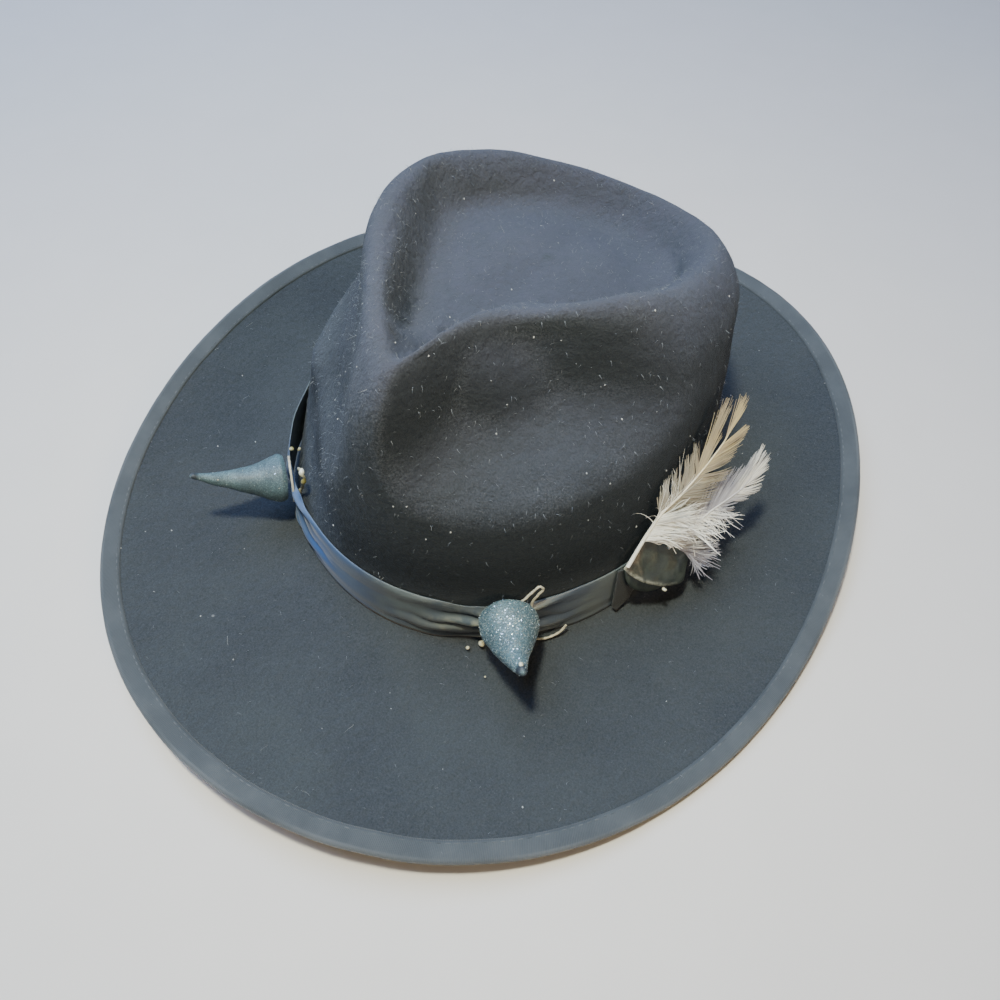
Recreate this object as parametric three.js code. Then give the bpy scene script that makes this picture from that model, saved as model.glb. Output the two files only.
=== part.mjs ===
// Wide-brimmed felt hat with a teardrop crown, a gathered ribbon band, two small horns
// and a pair of feathers. Millimetres, Z up. The wearer faces -Y and the wearer's left is +X.
// The hat rests on the flat ring of felt where the brim leaves the crown, at Z = 0.
import * as THREE from "three";

// Driving sizes
const FELT_THICKNESS = 1.8;
const RIBBON_THICKNESS = 0.8;
const BINDING_THICKNESS = 0.5;
const SEAT_GAP = 0.35;
const HORN_GAP = 0.9;
const BINDING_GAP = 0.4;
const BINDING_WIDTH = 6;
const FELT_COLUMNS = 54;
const BAND_COLUMNS = 90;
const ROWS_PER_SECTION = 2;

// The crown sits a little behind the middle of the brim.
const CROWN_CENTRE_X = -0.4;
const CROWN_CENTRE_Y = 8.9;
const CROWN_BASE_Z = 0.8;

// Sections of the felt's upper face, from the middle of the top dish down to the brim.
// Each is an oval: half width, where its centre lies front to back, half length,
// heights at the front, at the sides and at the back, and how far the front is pinched in.
const TOP_OF_DISH = { centreY: 20, height: 92.5 };
const FELT_SECTIONS = [
  { name: "dish middle", halfX: 22, centreY: 18, halfY: 30, front: 92, side: 92, back: 83, pinch: 0.5 },
  { name: "dish edge", halfX: 57, centreY: 11, halfY: 60, front: 95, side: 90, back: 76, pinch: 0.8 },
  { name: "dish wall", halfX: 60, centreY: 4.5, halfY: 72, front: 110, side: 104, back: 81, pinch: 0.8 },
  { name: "crest", halfX: 73, centreY: 3, halfY: 80, front: 118, side: 113, back: 89, pinch: 0.95 },
  { name: "shoulder", halfX: 83.5, centreY: 2, halfY: 89.5, front: 108, side: 102, back: 81, pinch: 0.7 },
  { name: "high wall", halfX: 84, centreY: 0, halfY: 94, front: 82, side: 78, back: 64, pinch: 0.3 },
  { name: "middle wall", halfX: 84.2, centreY: 0, halfY: 98.4, front: 52, side: 50, back: 45, pinch: 0.08 },
  { name: "low wall", halfX: 87, centreY: 0, halfY: 101.6, front: 22, side: 22, back: 22, pinch: 0 },
  { name: "band wall", halfX: 88.3, centreY: 0, halfY: 102.6, front: 11, side: 11, back: 11, pinch: 0 },
  { name: "brim break", halfX: 90, centreY: 0, halfY: 104, front: 3, side: 3, back: 3, pinch: 0 },
  { name: "resting ring inside", halfX: 97, centreY: -0.4, halfY: 111, front: 1, side: 1, back: 1, pinch: 0 },
  { name: "resting ring outside", halfX: 105, centreY: -0.8, halfY: 119, front: 1, side: 1, back: 1, pinch: 0 },
];
const CREST_SECTION = 3;
const FIRST_OUTER_SECTION = 4;
const NOSE_ROUNDING = 0.16;

// The brim's edge: an oval that waves gently up and down.
const BRIM_EDGE = { halfX: 153.3, halfY: 177.9, centreY: -9.3, height: 11 };
const BRIM_WAVES = [
  { turns: 2, height: -0.1, heightSine: -3.6, reach: 0, reachSine: 0.6 },
  { turns: 3, height: 4.4, heightSine: 3.9, reach: -0.6, reachSine: -0.7 },
  { turns: 4, height: 0, heightSine: 0, reach: -1, reachSine: 0 },
];
const BRIM_STEPS = [0.3, 0.6];
const BRIM_CURL_POWER = 1.5;

// Finger dents pressed into the front of the crown, one on each side of the nose: their middle
// in degrees from the front and millimetres above the foot, how far they reach, and their depth.
const FINGER_DENTS = [
  { name: "left", angle: 36, height: 90, before: 31, after: 66, above: 56, below: 23, depth: 20 },
  { name: "right", angle: -44, height: 78, before: 70, after: 34, above: 46, below: 30, depth: 13 },
];

// The felt also gives way behind the right horn, where the gathered band stands off it.
const HORN_DENTS = [
  { name: "behind the right horn", angle: -50, height: 42, before: 44, after: 40, above: 46, below: 36, depth: 14 },
];

// Ribbon band: heights of its two edges and how far it stands off the felt, by angle from the front.
const BAND_STATIONS = [
  { angle: -180, top: 28.5, bottom: 3.5, lift: 0.2 },
  { angle: -80, top: 28.5, bottom: 3.5, lift: 0.2 },
  { angle: -53, top: 28.5, bottom: 5, lift: 4.5 },
  { angle: -45, top: 27, bottom: 7, lift: 2.5 },
  { angle: -38, top: 25, bottom: 9, lift: 1 },
  { angle: -31, top: 27, bottom: 7, lift: 0.4 },
  { angle: -20, top: 28.5, bottom: 3.5, lift: 0.2 },
  { angle: 17, top: 28.5, bottom: 3.5, lift: 0.2 },
  { angle: 27, top: 27, bottom: 6, lift: 0.3 },
  { angle: 34, top: 25, bottom: 9, lift: 0.4 },
  { angle: 41, top: 27, bottom: 6, lift: 0.3 },
  { angle: 52, top: 27.5, bottom: 3.5, lift: 0.2 },
  { angle: 180, top: 28.5, bottom: 3.5, lift: 0.2 },
];
const BAND_STEPS_UP = 2;

// Horns: small curved cones standing out from the gathered band. Drift is how far the tip swings
// sideways, and slim the share by which the half nearer the tip is thinner than the stations say.
const HORNS = [
  { name: "horn_left", angle: 34.5, height: 22.5, length: 33, tiltAtTip: 48, drift: 2.6, slim: 0 },
  { name: "horn_right", angle: -38, height: 22.5, length: 40, tiltAtTip: 37, drift: 0, slim: 0.38 },
];
const HORN_TILT_AT_FOOT = 12;
const HORN_STATIONS = [
  { along: 0, radius: 8 },
  { along: 0.06, radius: 10.1 },
  { along: 0.18, radius: 10.6 },
  { along: 0.4, radius: 8 },
  { along: 0.65, radius: 4.6 },
  { along: 0.87, radius: 2.4 },
  { along: 0.97, radius: 1.5 },
];
const HORN_SIDES = 20;

// Thin cord lashed round the foot of each horn, with two loose ends beside it.
const TIE_DIAMETER = 1.1;
const TIE_STATIONS = [
  { around: -114, reach: 20, out: 0 },
  { around: -104, reach: 14, out: 0.3 },
  { around: -80, reach: 11.6, out: 0.6 },
  { around: -45, reach: 12, out: 0.8 },
  { around: -10, reach: 12.2, out: 0.9 },
  { around: 18, reach: 14, out: 1.2 },
  { around: 32, reach: 19, out: 1.4 },
  { around: 45, reach: 18.5, out: 1.5 },
  { around: 58, reach: 13.5, out: 1.2 },
  { around: 82, reach: 11.6, out: 0.7 },
  { around: 104, reach: 13.5, out: 0.3 },
  { around: 114, reach: 20, out: 0 },
];

// Folded leather-like tab that holds the feather quills.
const TAB_ANGLE = 71.5;
const TAB_BOTTOM = 11.5;
const TAB_TOP = 34;
const TAB_HALF_WIDTH_BOTTOM = 10.5;
const TAB_HALF_WIDTH_TOP = 9;
const TAB_HALF_DEPTH_BOTTOM = 7.5;
const TAB_HALF_DEPTH_TOP = 4;
const TAB_WALL = 1.2;
const TAB_CLEARANCE = 0.6;
const TAB_LEAN = 1.5;
const TAB_SIDES = 24;

// Ribbon keeper that crosses the band in front of the tab; its lower end is cut to a point.
const KEEPER_ANGLE = 62.3;
const KEEPER_THICKNESS = 1;
const KEEPER_STATIONS = [
  { height: 28.5, halfWidth: 3.2, slide: 1, stand: 0.3 },
  { height: 20, halfWidth: 3.4, slide: 0.5, stand: 0.5 },
  { height: 11, halfWidth: 3.6, slide: 0, stand: 0.8 },
  { height: 6.5, halfWidth: 3.6, slide: -0.5, stand: 1 },
  { height: 4, halfWidth: 0.8, slide: -1, stand: 1.4 },
];

// Feathers: each a thin blade along a bent quill. Positions are from the crown's centre.
const FEATHER_SIDES = 8;
const LONG_FEATHER = [
  { x: 90, y: -34, z: 23, halfWidth: 1, halfThickness: 0.8 },
  { x: 87.3, y: -32.5, z: 35, halfWidth: 1.8, halfThickness: 0.8 },
  { x: 87, y: -26, z: 48, halfWidth: 5.5, halfThickness: 1 },
  { x: 87.3, y: -15, z: 59, halfWidth: 6.5, halfThickness: 1 },
  { x: 88.2, y: -2, z: 68, halfWidth: 6, halfThickness: 0.9 },
  { x: 88.6, y: 5, z: 72.3, halfWidth: 4, halfThickness: 0.8 },
  { x: 89, y: 9.5, z: 75, halfWidth: 1.6, halfThickness: 0.6 },
];
const SHORT_FEATHER = [
  { x: 91.8, y: -28.2, z: 23, halfWidth: 1, halfThickness: 0.8 },
  { x: 89.2, y: -28.9, z: 35, halfWidth: 1.7, halfThickness: 0.8 },
  { x: 94, y: -16, z: 40, halfWidth: 5, halfThickness: 1 },
  { x: 97.5, y: -7, z: 44.5, halfWidth: 6, halfThickness: 1 },
  { x: 101.5, y: 2, z: 49, halfWidth: 5, halfThickness: 0.9 },
  { x: 104.5, y: 9.5, z: 53, halfWidth: 2, halfThickness: 0.6 },
];
const FEATHER_FACING = { x: 0.75, y: -0.4, z: 0.53 };

const UP = new THREE.Vector3(0, 0, 1);

function radians(degrees) {
  return (degrees * Math.PI) / 180;
}

function radialDirection(angle) {
  return new THREE.Vector3(Math.sin(angle), -Math.cos(angle), 0);
}

function tangentDirection(angle) {
  return new THREE.Vector3(Math.cos(angle), Math.sin(angle), 0);
}

function placed(x, y, z) {
  return new THREE.Vector3(x + CROWN_CENTRE_X, y + CROWN_CENTRE_Y, z + CROWN_BASE_Z);
}

// Smooth value between the rows of a table sorted by one column.
function tableValue(rows, key, column, at) {
  let index = 0;
  while (index < rows.length - 2 && rows[index + 1][key] < at) {
    index += 1;
  }
  const start = rows[index];
  const end = rows[index + 1];
  const t = THREE.MathUtils.clamp((at - start[key]) / (end[key] - start[key]), 0, 1);
  const eased = t * t * (3 - 2 * t);
  return start[column] + (end[column] - start[column]) * eased;
}

function ovalPoint(section, angle) {
  const pinchBase = Math.hypot(Math.sin(angle / 2), NOSE_ROUNDING) / Math.hypot(1, NOSE_ROUNDING);
  const x = section.halfX * Math.sin(angle) * Math.pow(pinchBase, section.pinch);
  const y = section.centreY - section.halfY * Math.cos(angle);
  const c = Math.cos(angle);
  const lean = (section.front - section.back) / 2;
  const ends = (section.front + section.back) / 2 - section.side;
  return placed(x, y, section.side + lean * c + ends * c * c);
}

function brimEdgePoint(angle) {
  let reach = 0;
  let height = BRIM_EDGE.height;
  for (const wave of BRIM_WAVES) {
    reach += wave.reach * Math.cos(wave.turns * angle) + wave.reachSine * Math.sin(wave.turns * angle);
    height += wave.height * Math.cos(wave.turns * angle) + wave.heightSine * Math.sin(wave.turns * angle);
  }
  const x = (BRIM_EDGE.halfX + reach) * Math.sin(angle);
  const y = BRIM_EDGE.centreY - (BRIM_EDGE.halfY + reach) * Math.cos(angle);
  return placed(x, y, height);
}

// Guide points of the felt's upper face at one angle, from the top of the crown to the brim's edge.
function guidePoints(angle) {
  const guides = [placed(0, TOP_OF_DISH.centreY, TOP_OF_DISH.height - CROWN_BASE_Z)];
  for (const section of FELT_SECTIONS) {
    guides.push(ovalPoint(section, angle));
  }
  const start = guides[guides.length - 1];
  const edge = brimEdgePoint(angle);
  const bindingStep = 1 - BINDING_WIDTH / start.distanceTo(edge);
  for (const step of [...BRIM_STEPS, bindingStep, 1]) {
    const point = start.clone().lerp(edge, step);
    point.z = start.z + (edge.z - start.z) * Math.pow(step, BRIM_CURL_POWER);
    guides.push(point);
  }
  return guides;
}

function slopeAt(before, here, after) {
  const back = here.distanceTo(before);
  const ahead = after.distanceTo(here);
  const slope = here.clone().sub(before).multiplyScalar(ahead / back);
  slope.add(after.clone().sub(here).multiplyScalar(back / ahead));
  return slope.divideScalar(back + ahead);
}

function pressDents(point, angle, sectionPosition, dents) {
  const offTheDish = THREE.MathUtils.smoothstep(sectionPosition, CREST_SECTION - 2, CREST_SECTION);
  for (const dent of dents) {
    const turn = THREE.MathUtils.euclideanModulo(THREE.MathUtils.radToDeg(angle) - dent.angle + 180, 360) - 180;
    const rise = point.z - CROWN_BASE_Z - dent.height;
    const across = turn / (turn > 0 ? dent.after : dent.before);
    const up = rise / (rise > 0 ? dent.above : dent.below);
    const fading = THREE.MathUtils.smoothstep(Math.hypot(across, up), 0.3, 1);
    const inward = new THREE.Vector3(CROWN_CENTRE_X - point.x, CROWN_CENTRE_Y - point.y, 0).normalize();
    point.addScaledVector(inward, dent.depth * offTheDish * (1 - fading));
  }
  return point;
}

// Points down the felt's upper face at one angle, smoothed between the guide points.
function feltMeridian(angle, dents) {
  const guides = guidePoints(angle);
  const last = guides.length - 1;
  const points = [];
  for (let index = 0; index < last; index += 1) {
    const here = guides[index];
    const next = guides[index + 1];
    const before = index > 0 ? guides[index - 1] : here.clone().multiplyScalar(2).sub(next);
    const after = index + 2 <= last ? guides[index + 2] : next.clone().multiplyScalar(2).sub(here);
    const span = here.distanceTo(next);
    const startSlope = slopeAt(before, here, next).multiplyScalar(span);
    const endSlope = slopeAt(here, next, after).multiplyScalar(span);
    for (let step = 0; step < ROWS_PER_SECTION; step += 1) {
      const t = step / ROWS_PER_SECTION;
      const point = here.clone().multiplyScalar(2 * t ** 3 - 3 * t ** 2 + 1);
      point.addScaledVector(startSlope, t ** 3 - 2 * t ** 2 + t);
      point.addScaledVector(next, 3 * t ** 2 - 2 * t ** 3);
      point.addScaledVector(endSlope, t ** 3 - t ** 2);
      points.push(pressDents(point, angle, index + t, dents));
    }
  }
  points.push(guides[last]);
  return points;
}

function columnAngles(count) {
  return Array.from({ length: count }, (unused, index) => (index / count) * 2 * Math.PI);
}

// Upper face, its normals and the lower face of the felt, as rows of points round the hat.
function feltFaces(columns) {
  const angles = columnAngles(columns);
  const meridians = angles.map((angle) => feltMeridian(angle, [...FINGER_DENTS, ...HORN_DENTS]));
  const rowCount = meridians[0].length;
  const upper = [];
  const lower = [];
  const normals = [];
  for (let row = 1; row < rowCount; row += 1) {
    upper.push(meridians.map((points) => points[row]));
    const rowNormals = meridians.map((points, column) => {
      const next = meridians[(column + 1) % columns];
      const previous = meridians[(column + columns - 1) % columns];
      const around = next[row].clone().sub(previous[row]);
      const down = points[Math.min(row + 1, rowCount - 1)].clone().sub(points[row - 1]);
      return down.cross(around).normalize();
    });
    normals.push(rowNormals);
    lower.push(upper[row - 1].map((point, column) => {
      const under = point.clone().addScaledVector(rowNormals[column], -FELT_THICKNESS);
      under.z = Math.max(under.z, 0);
      return under;
    }));
  }
  return { top: meridians[0][0], upper, lower, normals, angles };
}

function signedVolume(points, triangles) {
  let volume = 0;
  for (const [a, b, c] of triangles) {
    volume += points[a].dot(points[b].clone().cross(points[c]));
  }
  return volume / 6;
}

// Solid through a list of rings with the same number of points. Its ends close on a point,
// or the last ring joins the first.
function ringSolid(rings, { start, end, joined = false } = {}) {
  const sides = rings[0].length;
  const points = rings.flat();
  const triangles = [];
  const bands = joined ? rings.length : rings.length - 1;
  for (let ring = 0; ring < bands; ring += 1) {
    const here = ring * sides;
    const next = ((ring + 1) % rings.length) * sides;
    for (let side = 0; side < sides; side += 1) {
      const after = (side + 1) % sides;
      triangles.push([here + side, next + side, next + after]);
      triangles.push([here + side, next + after, here + after]);
    }
  }
  if (!joined) {
    const middle = (ring) => ring.reduce((sum, point) => sum.add(point), new THREE.Vector3()).divideScalar(sides);
    const startIndex = points.push(start ?? middle(rings[0])) - 1;
    const endIndex = points.push(end ?? middle(rings[rings.length - 1])) - 1;
    const lastRing = (rings.length - 1) * sides;
    for (let side = 0; side < sides; side += 1) {
      const after = (side + 1) % sides;
      triangles.push([startIndex, side, after]);
      triangles.push([endIndex, lastRing + after, lastRing + side]);
    }
  }
  const outward = signedVolume(points, triangles) > 0;
  const geometry = new THREE.BufferGeometry().setFromPoints(points);
  geometry.setIndex(triangles.flatMap(([a, b, c]) => (outward ? [a, b, c] : [a, c, b])));
  geometry.computeVertexNormals();
  return geometry;
}

function feltBody(felt) {
  const rings = [...felt.upper, ...felt.lower.slice().reverse()];
  const underTop = felt.top.clone().addScaledVector(UP, -FELT_THICKNESS);
  return ringSolid(rings, { start: felt.top, end: underTop });
}

// Ribbon folded over the brim's edge, covering the last rows of felt above and below.
function brimBinding(felt) {
  const covered = ROWS_PER_SECTION + 1;
  const firstRow = felt.upper.length - covered;
  const rings = felt.angles.map((angle, column) => {
    const face = (rows, lift) => rows.slice(firstRow).map((row, index) => (
      row[column].clone().addScaledVector(felt.normals[firstRow + index][column], lift)
    ));
    const clear = BINDING_GAP;
    const cover = BINDING_GAP + BINDING_THICKNESS;
    const outerTop = face(felt.upper, cover);
    const innerTop = face(felt.upper, clear);
    const outerUnder = face(felt.lower, -cover);
    const innerUnder = face(felt.lower, -clear);
    const outward = radialDirection(angle);
    const edge = covered - 1;
    const pushed = (point, reach) => point.clone().addScaledVector(outward, reach);
    const fold = [
      pushed(outerTop[edge].clone().lerp(innerTop[edge], 0.8), cover),
      pushed(outerUnder[edge].clone().lerp(innerUnder[edge], 0.8), cover),
    ];
    const lining = [pushed(innerUnder[edge], clear), pushed(innerTop[edge], clear)];
    return [
      ...outerTop,
      ...fold,
      ...outerUnder.reverse(),
      ...innerUnder.slice(0, edge),
      ...lining,
      ...innerTop.slice(0, edge).reverse(),
    ];
  });
  return ringSolid(rings, { joined: true });
}

// Point on the outside of the crown wall at an angle and height, moved out by some distance.
// Band and ornaments follow the wall as it is without the dent behind the right horn.
function wallPoint(angle, height, standoff) {
  const points = feltMeridian(angle, FINGER_DENTS);
  let row = FIRST_OUTER_SECTION * ROWS_PER_SECTION;
  while (points[row + 1].z > height) {
    row += 1;
  }
  const t = (height - points[row].z) / (points[row + 1].z - points[row].z);
  const point = points[row].clone().lerp(points[row + 1], t);
  return point.addScaledVector(radialDirection(angle), standoff);
}

function bandStation(angle, column) {
  const degrees = THREE.MathUtils.euclideanModulo(THREE.MathUtils.radToDeg(angle) + 180, 360) - 180;
  return tableValue(BAND_STATIONS, "angle", column, degrees);
}

// Standoff of the band's outer face from the felt.
function bandCover(angle) {
  return SEAT_GAP + bandStation(angle, "lift") + RIBBON_THICKNESS;
}

function hatBand() {
  const rings = columnAngles(BAND_COLUMNS).map((angle) => {
    const top = bandStation(angle, "top");
    const bottom = bandStation(angle, "bottom");
    const lift = SEAT_GAP + bandStation(angle, "lift");
    const outer = [];
    const inner = [];
    for (let step = 0; step <= BAND_STEPS_UP; step += 1) {
      const height = CROWN_BASE_Z + top + (bottom - top) * (step / BAND_STEPS_UP);
      outer.push(wallPoint(angle, height, lift + RIBBON_THICKNESS));
      inner.push(wallPoint(angle, height, lift));
    }
    return [...outer, ...inner.reverse()];
  });
  return ringSolid(rings, { joined: true });
}

// Curved centre line of a horn: it leaves the band squarely and bends upward along an arc.
function hornCentre(horn, along) {
  const angle = radians(horn.angle);
  const foot = wallPoint(angle, CROWN_BASE_Z + horn.height, bandCover(angle) + HORN_GAP);
  const start = radians(HORN_TILT_AT_FOOT);
  const bend = radians(horn.tiltAtTip) - start;
  const arcRadius = horn.length / bend;
  const out = arcRadius * (Math.sin(start + bend * along) - Math.sin(start));
  const rise = arcRadius * (Math.cos(start) - Math.cos(start + bend * along));
  const sideways = horn.drift * along ** 2;
  return foot
    .addScaledVector(radialDirection(angle), out)
    .addScaledVector(tangentDirection(angle), sideways)
    .addScaledVector(UP, rise);
}

function hornBody(horn) {
  const angle = radians(horn.angle);
  const across = tangentDirection(angle);
  const rings = HORN_STATIONS.map((station) => {
    const { along } = station;
    const radius = station.radius * (1 - horn.slim * THREE.MathUtils.smoothstep(along, 0.4, 0.9));
    const centre = hornCentre(horn, along);
    const tilt = radians(THREE.MathUtils.lerp(HORN_TILT_AT_FOOT, horn.tiltAtTip, along));
    const upright = UP.clone().multiplyScalar(Math.cos(tilt));
    upright.addScaledVector(radialDirection(angle), -Math.sin(tilt));
    return columnAngles(HORN_SIDES).map((turn) => (
      centre.clone()
        .addScaledVector(across, radius * Math.cos(turn))
        .addScaledVector(upright, radius * Math.sin(turn))
    ));
  });
  return ringSolid(rings, { end: hornCentre(horn, 1) });
}

function hornTie(horn) {
  const angle = radians(horn.angle);
  const foot = hornCentre(horn, 0);
  const path = TIE_STATIONS.map(({ around, reach, out }) => (
    foot.clone()
      .addScaledVector(tangentDirection(angle), reach * Math.sin(radians(around)))
      .addScaledVector(UP, reach * Math.cos(radians(around)))
      .addScaledVector(radialDirection(angle), out)
  ));
  const section = new THREE.Shape().absarc(0, 0, TIE_DIAMETER / 2, 0, 2 * Math.PI);
  return new THREE.ExtrudeGeometry(section, {
    steps: 26,
    curveSegments: 3,
    extrudePath: new THREE.CatmullRomCurve3(path),
  });
}

function featherTab() {
  const angle = radians(TAB_ANGLE);
  const out = radialDirection(angle);
  const across = tangentDirection(angle);
  const edgePoint = (turn, height, halfDepth, inset) => {
    const share = (height - TAB_BOTTOM) / (TAB_TOP - TAB_BOTTOM);
    const standoff = bandCover(angle) + SEAT_GAP + TAB_CLEARANCE + halfDepth;
    const centre = wallPoint(angle, CROWN_BASE_Z + height, standoff).addScaledVector(across, TAB_LEAN * share);
    const halfWidth = THREE.MathUtils.lerp(TAB_HALF_WIDTH_BOTTOM, TAB_HALF_WIDTH_TOP, share);
    const width = (halfWidth - inset) * Math.sign(Math.cos(turn)) * Math.abs(Math.cos(turn)) ** 0.7;
    const depth = (halfDepth - inset) * Math.sign(Math.sin(turn)) * Math.abs(Math.sin(turn)) ** 0.7;
    return centre.addScaledVector(across, width).addScaledVector(out, depth);
  };
  const rings = columnAngles(TAB_SIDES).map((turn) => [
    edgePoint(turn, TAB_TOP, TAB_HALF_DEPTH_TOP, 0),
    edgePoint(turn, TAB_BOTTOM, TAB_HALF_DEPTH_BOTTOM, 0),
    edgePoint(turn, TAB_BOTTOM, TAB_HALF_DEPTH_BOTTOM, TAB_WALL),
    edgePoint(turn, TAB_TOP, TAB_HALF_DEPTH_TOP, TAB_WALL),
  ]);
  return ringSolid(rings, { joined: true });
}

function bandKeeper() {
  const angle = radians(KEEPER_ANGLE);
  const across = tangentDirection(angle);
  const rings = KEEPER_STATIONS.map(({ height, halfWidth, slide, stand }) => {
    const inner = bandCover(angle) + SEAT_GAP + stand;
    const corner = (side, standoff) => (
      wallPoint(angle, CROWN_BASE_Z + height, standoff).addScaledVector(across, slide + side * halfWidth)
    );
    return [
      corner(-1, inner + KEEPER_THICKNESS),
      corner(1, inner + KEEPER_THICKNESS),
      corner(1, inner),
      corner(-1, inner),
    ];
  });
  return ringSolid(rings);
}

function featherBlade(stations) {
  const centres = stations.map(({ x, y, z }) => placed(x, y, z));
  const rings = stations.map(({ halfWidth, halfThickness }, index) => {
    const before = centres[Math.max(index - 1, 0)];
    const after = centres[Math.min(index + 1, centres.length - 1)];
    const along = after.clone().sub(before).normalize();
    const facing = new THREE.Vector3(FEATHER_FACING.x, FEATHER_FACING.y, FEATHER_FACING.z);
    const thick = facing.addScaledVector(along, -facing.dot(along)).normalize();
    const wide = along.clone().cross(thick);
    return columnAngles(FEATHER_SIDES).map((turn) => (
      centres[index].clone()
        .addScaledVector(wide, halfWidth * Math.cos(turn))
        .addScaledVector(thick, halfThickness * Math.sin(turn))
    ));
  });
  return ringSolid(rings);
}

function piece(name, geometry, { color, roughness }) {
  const material = new THREE.MeshStandardMaterial({ color, roughness, metalness: 0 });
  const mesh = new THREE.Mesh(geometry, material);
  mesh.name = name;
  return mesh;
}

const FELT = { color: 0x23262e, roughness: 0.95 };
const GROSGRAIN = { color: 0x2c2f37, roughness: 0.8 };
const SATIN = { color: 0x171c2b, roughness: 0.45 };
const LEATHER = { color: 0x17181a, roughness: 0.5 };
const GLITTER = { color: 0x7f9aa5, roughness: 0.5 };
const CORD = { color: 0xcfc9b4, roughness: 0.6 };
const TAN_VANE = { color: 0xb09c83, roughness: 0.85 };
const GREY_VANE = { color: 0x8d8a94, roughness: 0.85 };

const felt = feltFaces(FELT_COLUMNS);
const hat = new THREE.Group();
hat.name = "felt_hat";
hat.add(piece("felt_body", feltBody(felt), FELT));
hat.add(piece("brim_binding", brimBinding(felt), GROSGRAIN));
hat.add(piece("hat_band", hatBand(), SATIN));
for (const horn of HORNS) {
  hat.add(piece(horn.name, hornBody(horn), GLITTER));
  hat.add(piece(horn.name.replace("horn", "horn_tie"), hornTie(horn), CORD));
}
hat.add(piece("feather_tab", featherTab(), LEATHER));
hat.add(piece("band_keeper", bandKeeper(), SATIN));
hat.add(piece("feather_long", featherBlade(LONG_FEATHER), TAN_VANE));
hat.add(piece("feather_short", featherBlade(SHORT_FEATHER), GREY_VANE));

export default hat;
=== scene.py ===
"""Looks of a wide-brimmed felt hat with a gathered satin band, two glitter horns and two feathers.

The felt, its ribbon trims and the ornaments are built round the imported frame, in metres.
The wearer faces -Y and the wearer's left, with the feathers, is +X.
"""

import math

import bpy
import numpy as np
from bpy.props import FloatProperty, FloatVectorProperty, IntProperty, PointerProperty
from mathutils import Matrix, Vector


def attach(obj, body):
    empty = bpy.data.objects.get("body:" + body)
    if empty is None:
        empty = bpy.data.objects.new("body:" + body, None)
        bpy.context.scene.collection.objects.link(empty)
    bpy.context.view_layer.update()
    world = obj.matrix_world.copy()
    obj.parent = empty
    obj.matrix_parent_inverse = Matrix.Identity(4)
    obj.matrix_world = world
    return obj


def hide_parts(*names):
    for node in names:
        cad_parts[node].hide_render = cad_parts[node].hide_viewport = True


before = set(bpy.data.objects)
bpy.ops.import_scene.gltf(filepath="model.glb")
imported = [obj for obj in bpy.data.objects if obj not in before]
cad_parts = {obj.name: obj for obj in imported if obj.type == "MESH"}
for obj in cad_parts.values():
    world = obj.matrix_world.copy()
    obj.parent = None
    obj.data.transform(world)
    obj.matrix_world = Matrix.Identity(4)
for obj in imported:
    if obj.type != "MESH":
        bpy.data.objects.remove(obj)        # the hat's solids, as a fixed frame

bl_info = {
    "name": "Felt hat looks",
    "version": (1, 0, 0),
    "blender": (4, 5, 0),
    "location": "View3D > Sidebar > Hat",
    "description": "Builds the felt, ribbons, horns and feathers of a wide-brimmed hat",
    "category": "Object",
}

MM = 0.001
BODY = "root"

# The crown sits a little behind the middle of the brim.
CROWN_CENTRE = np.array((-0.4, 8.9, 0.8)) * MM

# Sections of the felt's upper face, in millimetres, from the top dish down to the brim. Columns:
# half_x, centre_y, half_y, the heights at the front, side and back, and how far the front is pinched.
FELT_SECTIONS = (
    (22, 18, 30, 92, 92, 83, 0.5),
    (57, 11, 60, 95, 90, 76, 0.8),
    (60, 4.5, 72, 110, 104, 81, 0.8),
    (73, 3, 80, 118, 113, 89, 0.95),
    (83.5, 2, 89.5, 108, 102, 81, 0.7),
    (84, 0, 94, 82, 78, 64, 0.3),
    (84.2, 0, 98.4, 52, 50, 45, 0.08),
    (87, 0, 101.6, 22, 22, 22, 0),
    (88.3, 0, 102.6, 11, 11, 11, 0),
    (90, 0, 104, 3, 3, 3, 0),
    (97, -0.4, 111, 1, 1, 1, 0),
    (105, -0.8, 119, 1, 1, 1, 0),
)
TOP_OF_DISH = (0, 20, 91.7)
CREST_SECTION = 3
FIRST_OUTER_SECTION = 4
BRIM_BREAK_SECTION = 9
NOSE_ROUNDING = 0.16

# The brim's edge is an oval that waves gently up and down.
EDGE_HALF_X = 153.3
EDGE_HALF_Y = 177.9
EDGE_CENTRE_Y = -9.3
EDGE_HEIGHT = 11
WAVE_COLUMNS = ("turns", "height", "height_sine", "reach", "reach_sine")
BRIM_WAVES = (
    (2, -0.1, -3.6, 0, 0.6),
    (3, 4.4, 3.9, -0.6, -0.7),
    (4, 0, 0, -1, 0),
)
BRIM_STEPS = (0.3, 0.6)
BRIM_CURL_POWER = 1.5
BINDING_WIDTH = 6
BINDING_GAP = 0.12 * MM
BINDING_BENDS = 7

# Dents in the crown: the angle and height of their middle, how far they reach before it, after it,
# above it and below it, and their depth. Two are pressed by fingers, left and right of the nose, and
# one lies behind the right horn, where the band stands off.
FINGER_DENTS = (
    (35, 90, 30, 55, 56, 22, 23.5),
    (-44, 78, 70, 34, 46, 30, 13),
)
HORN_DENTS = ((-45, 39, 23, 37, 36, 32, 8),)

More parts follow.
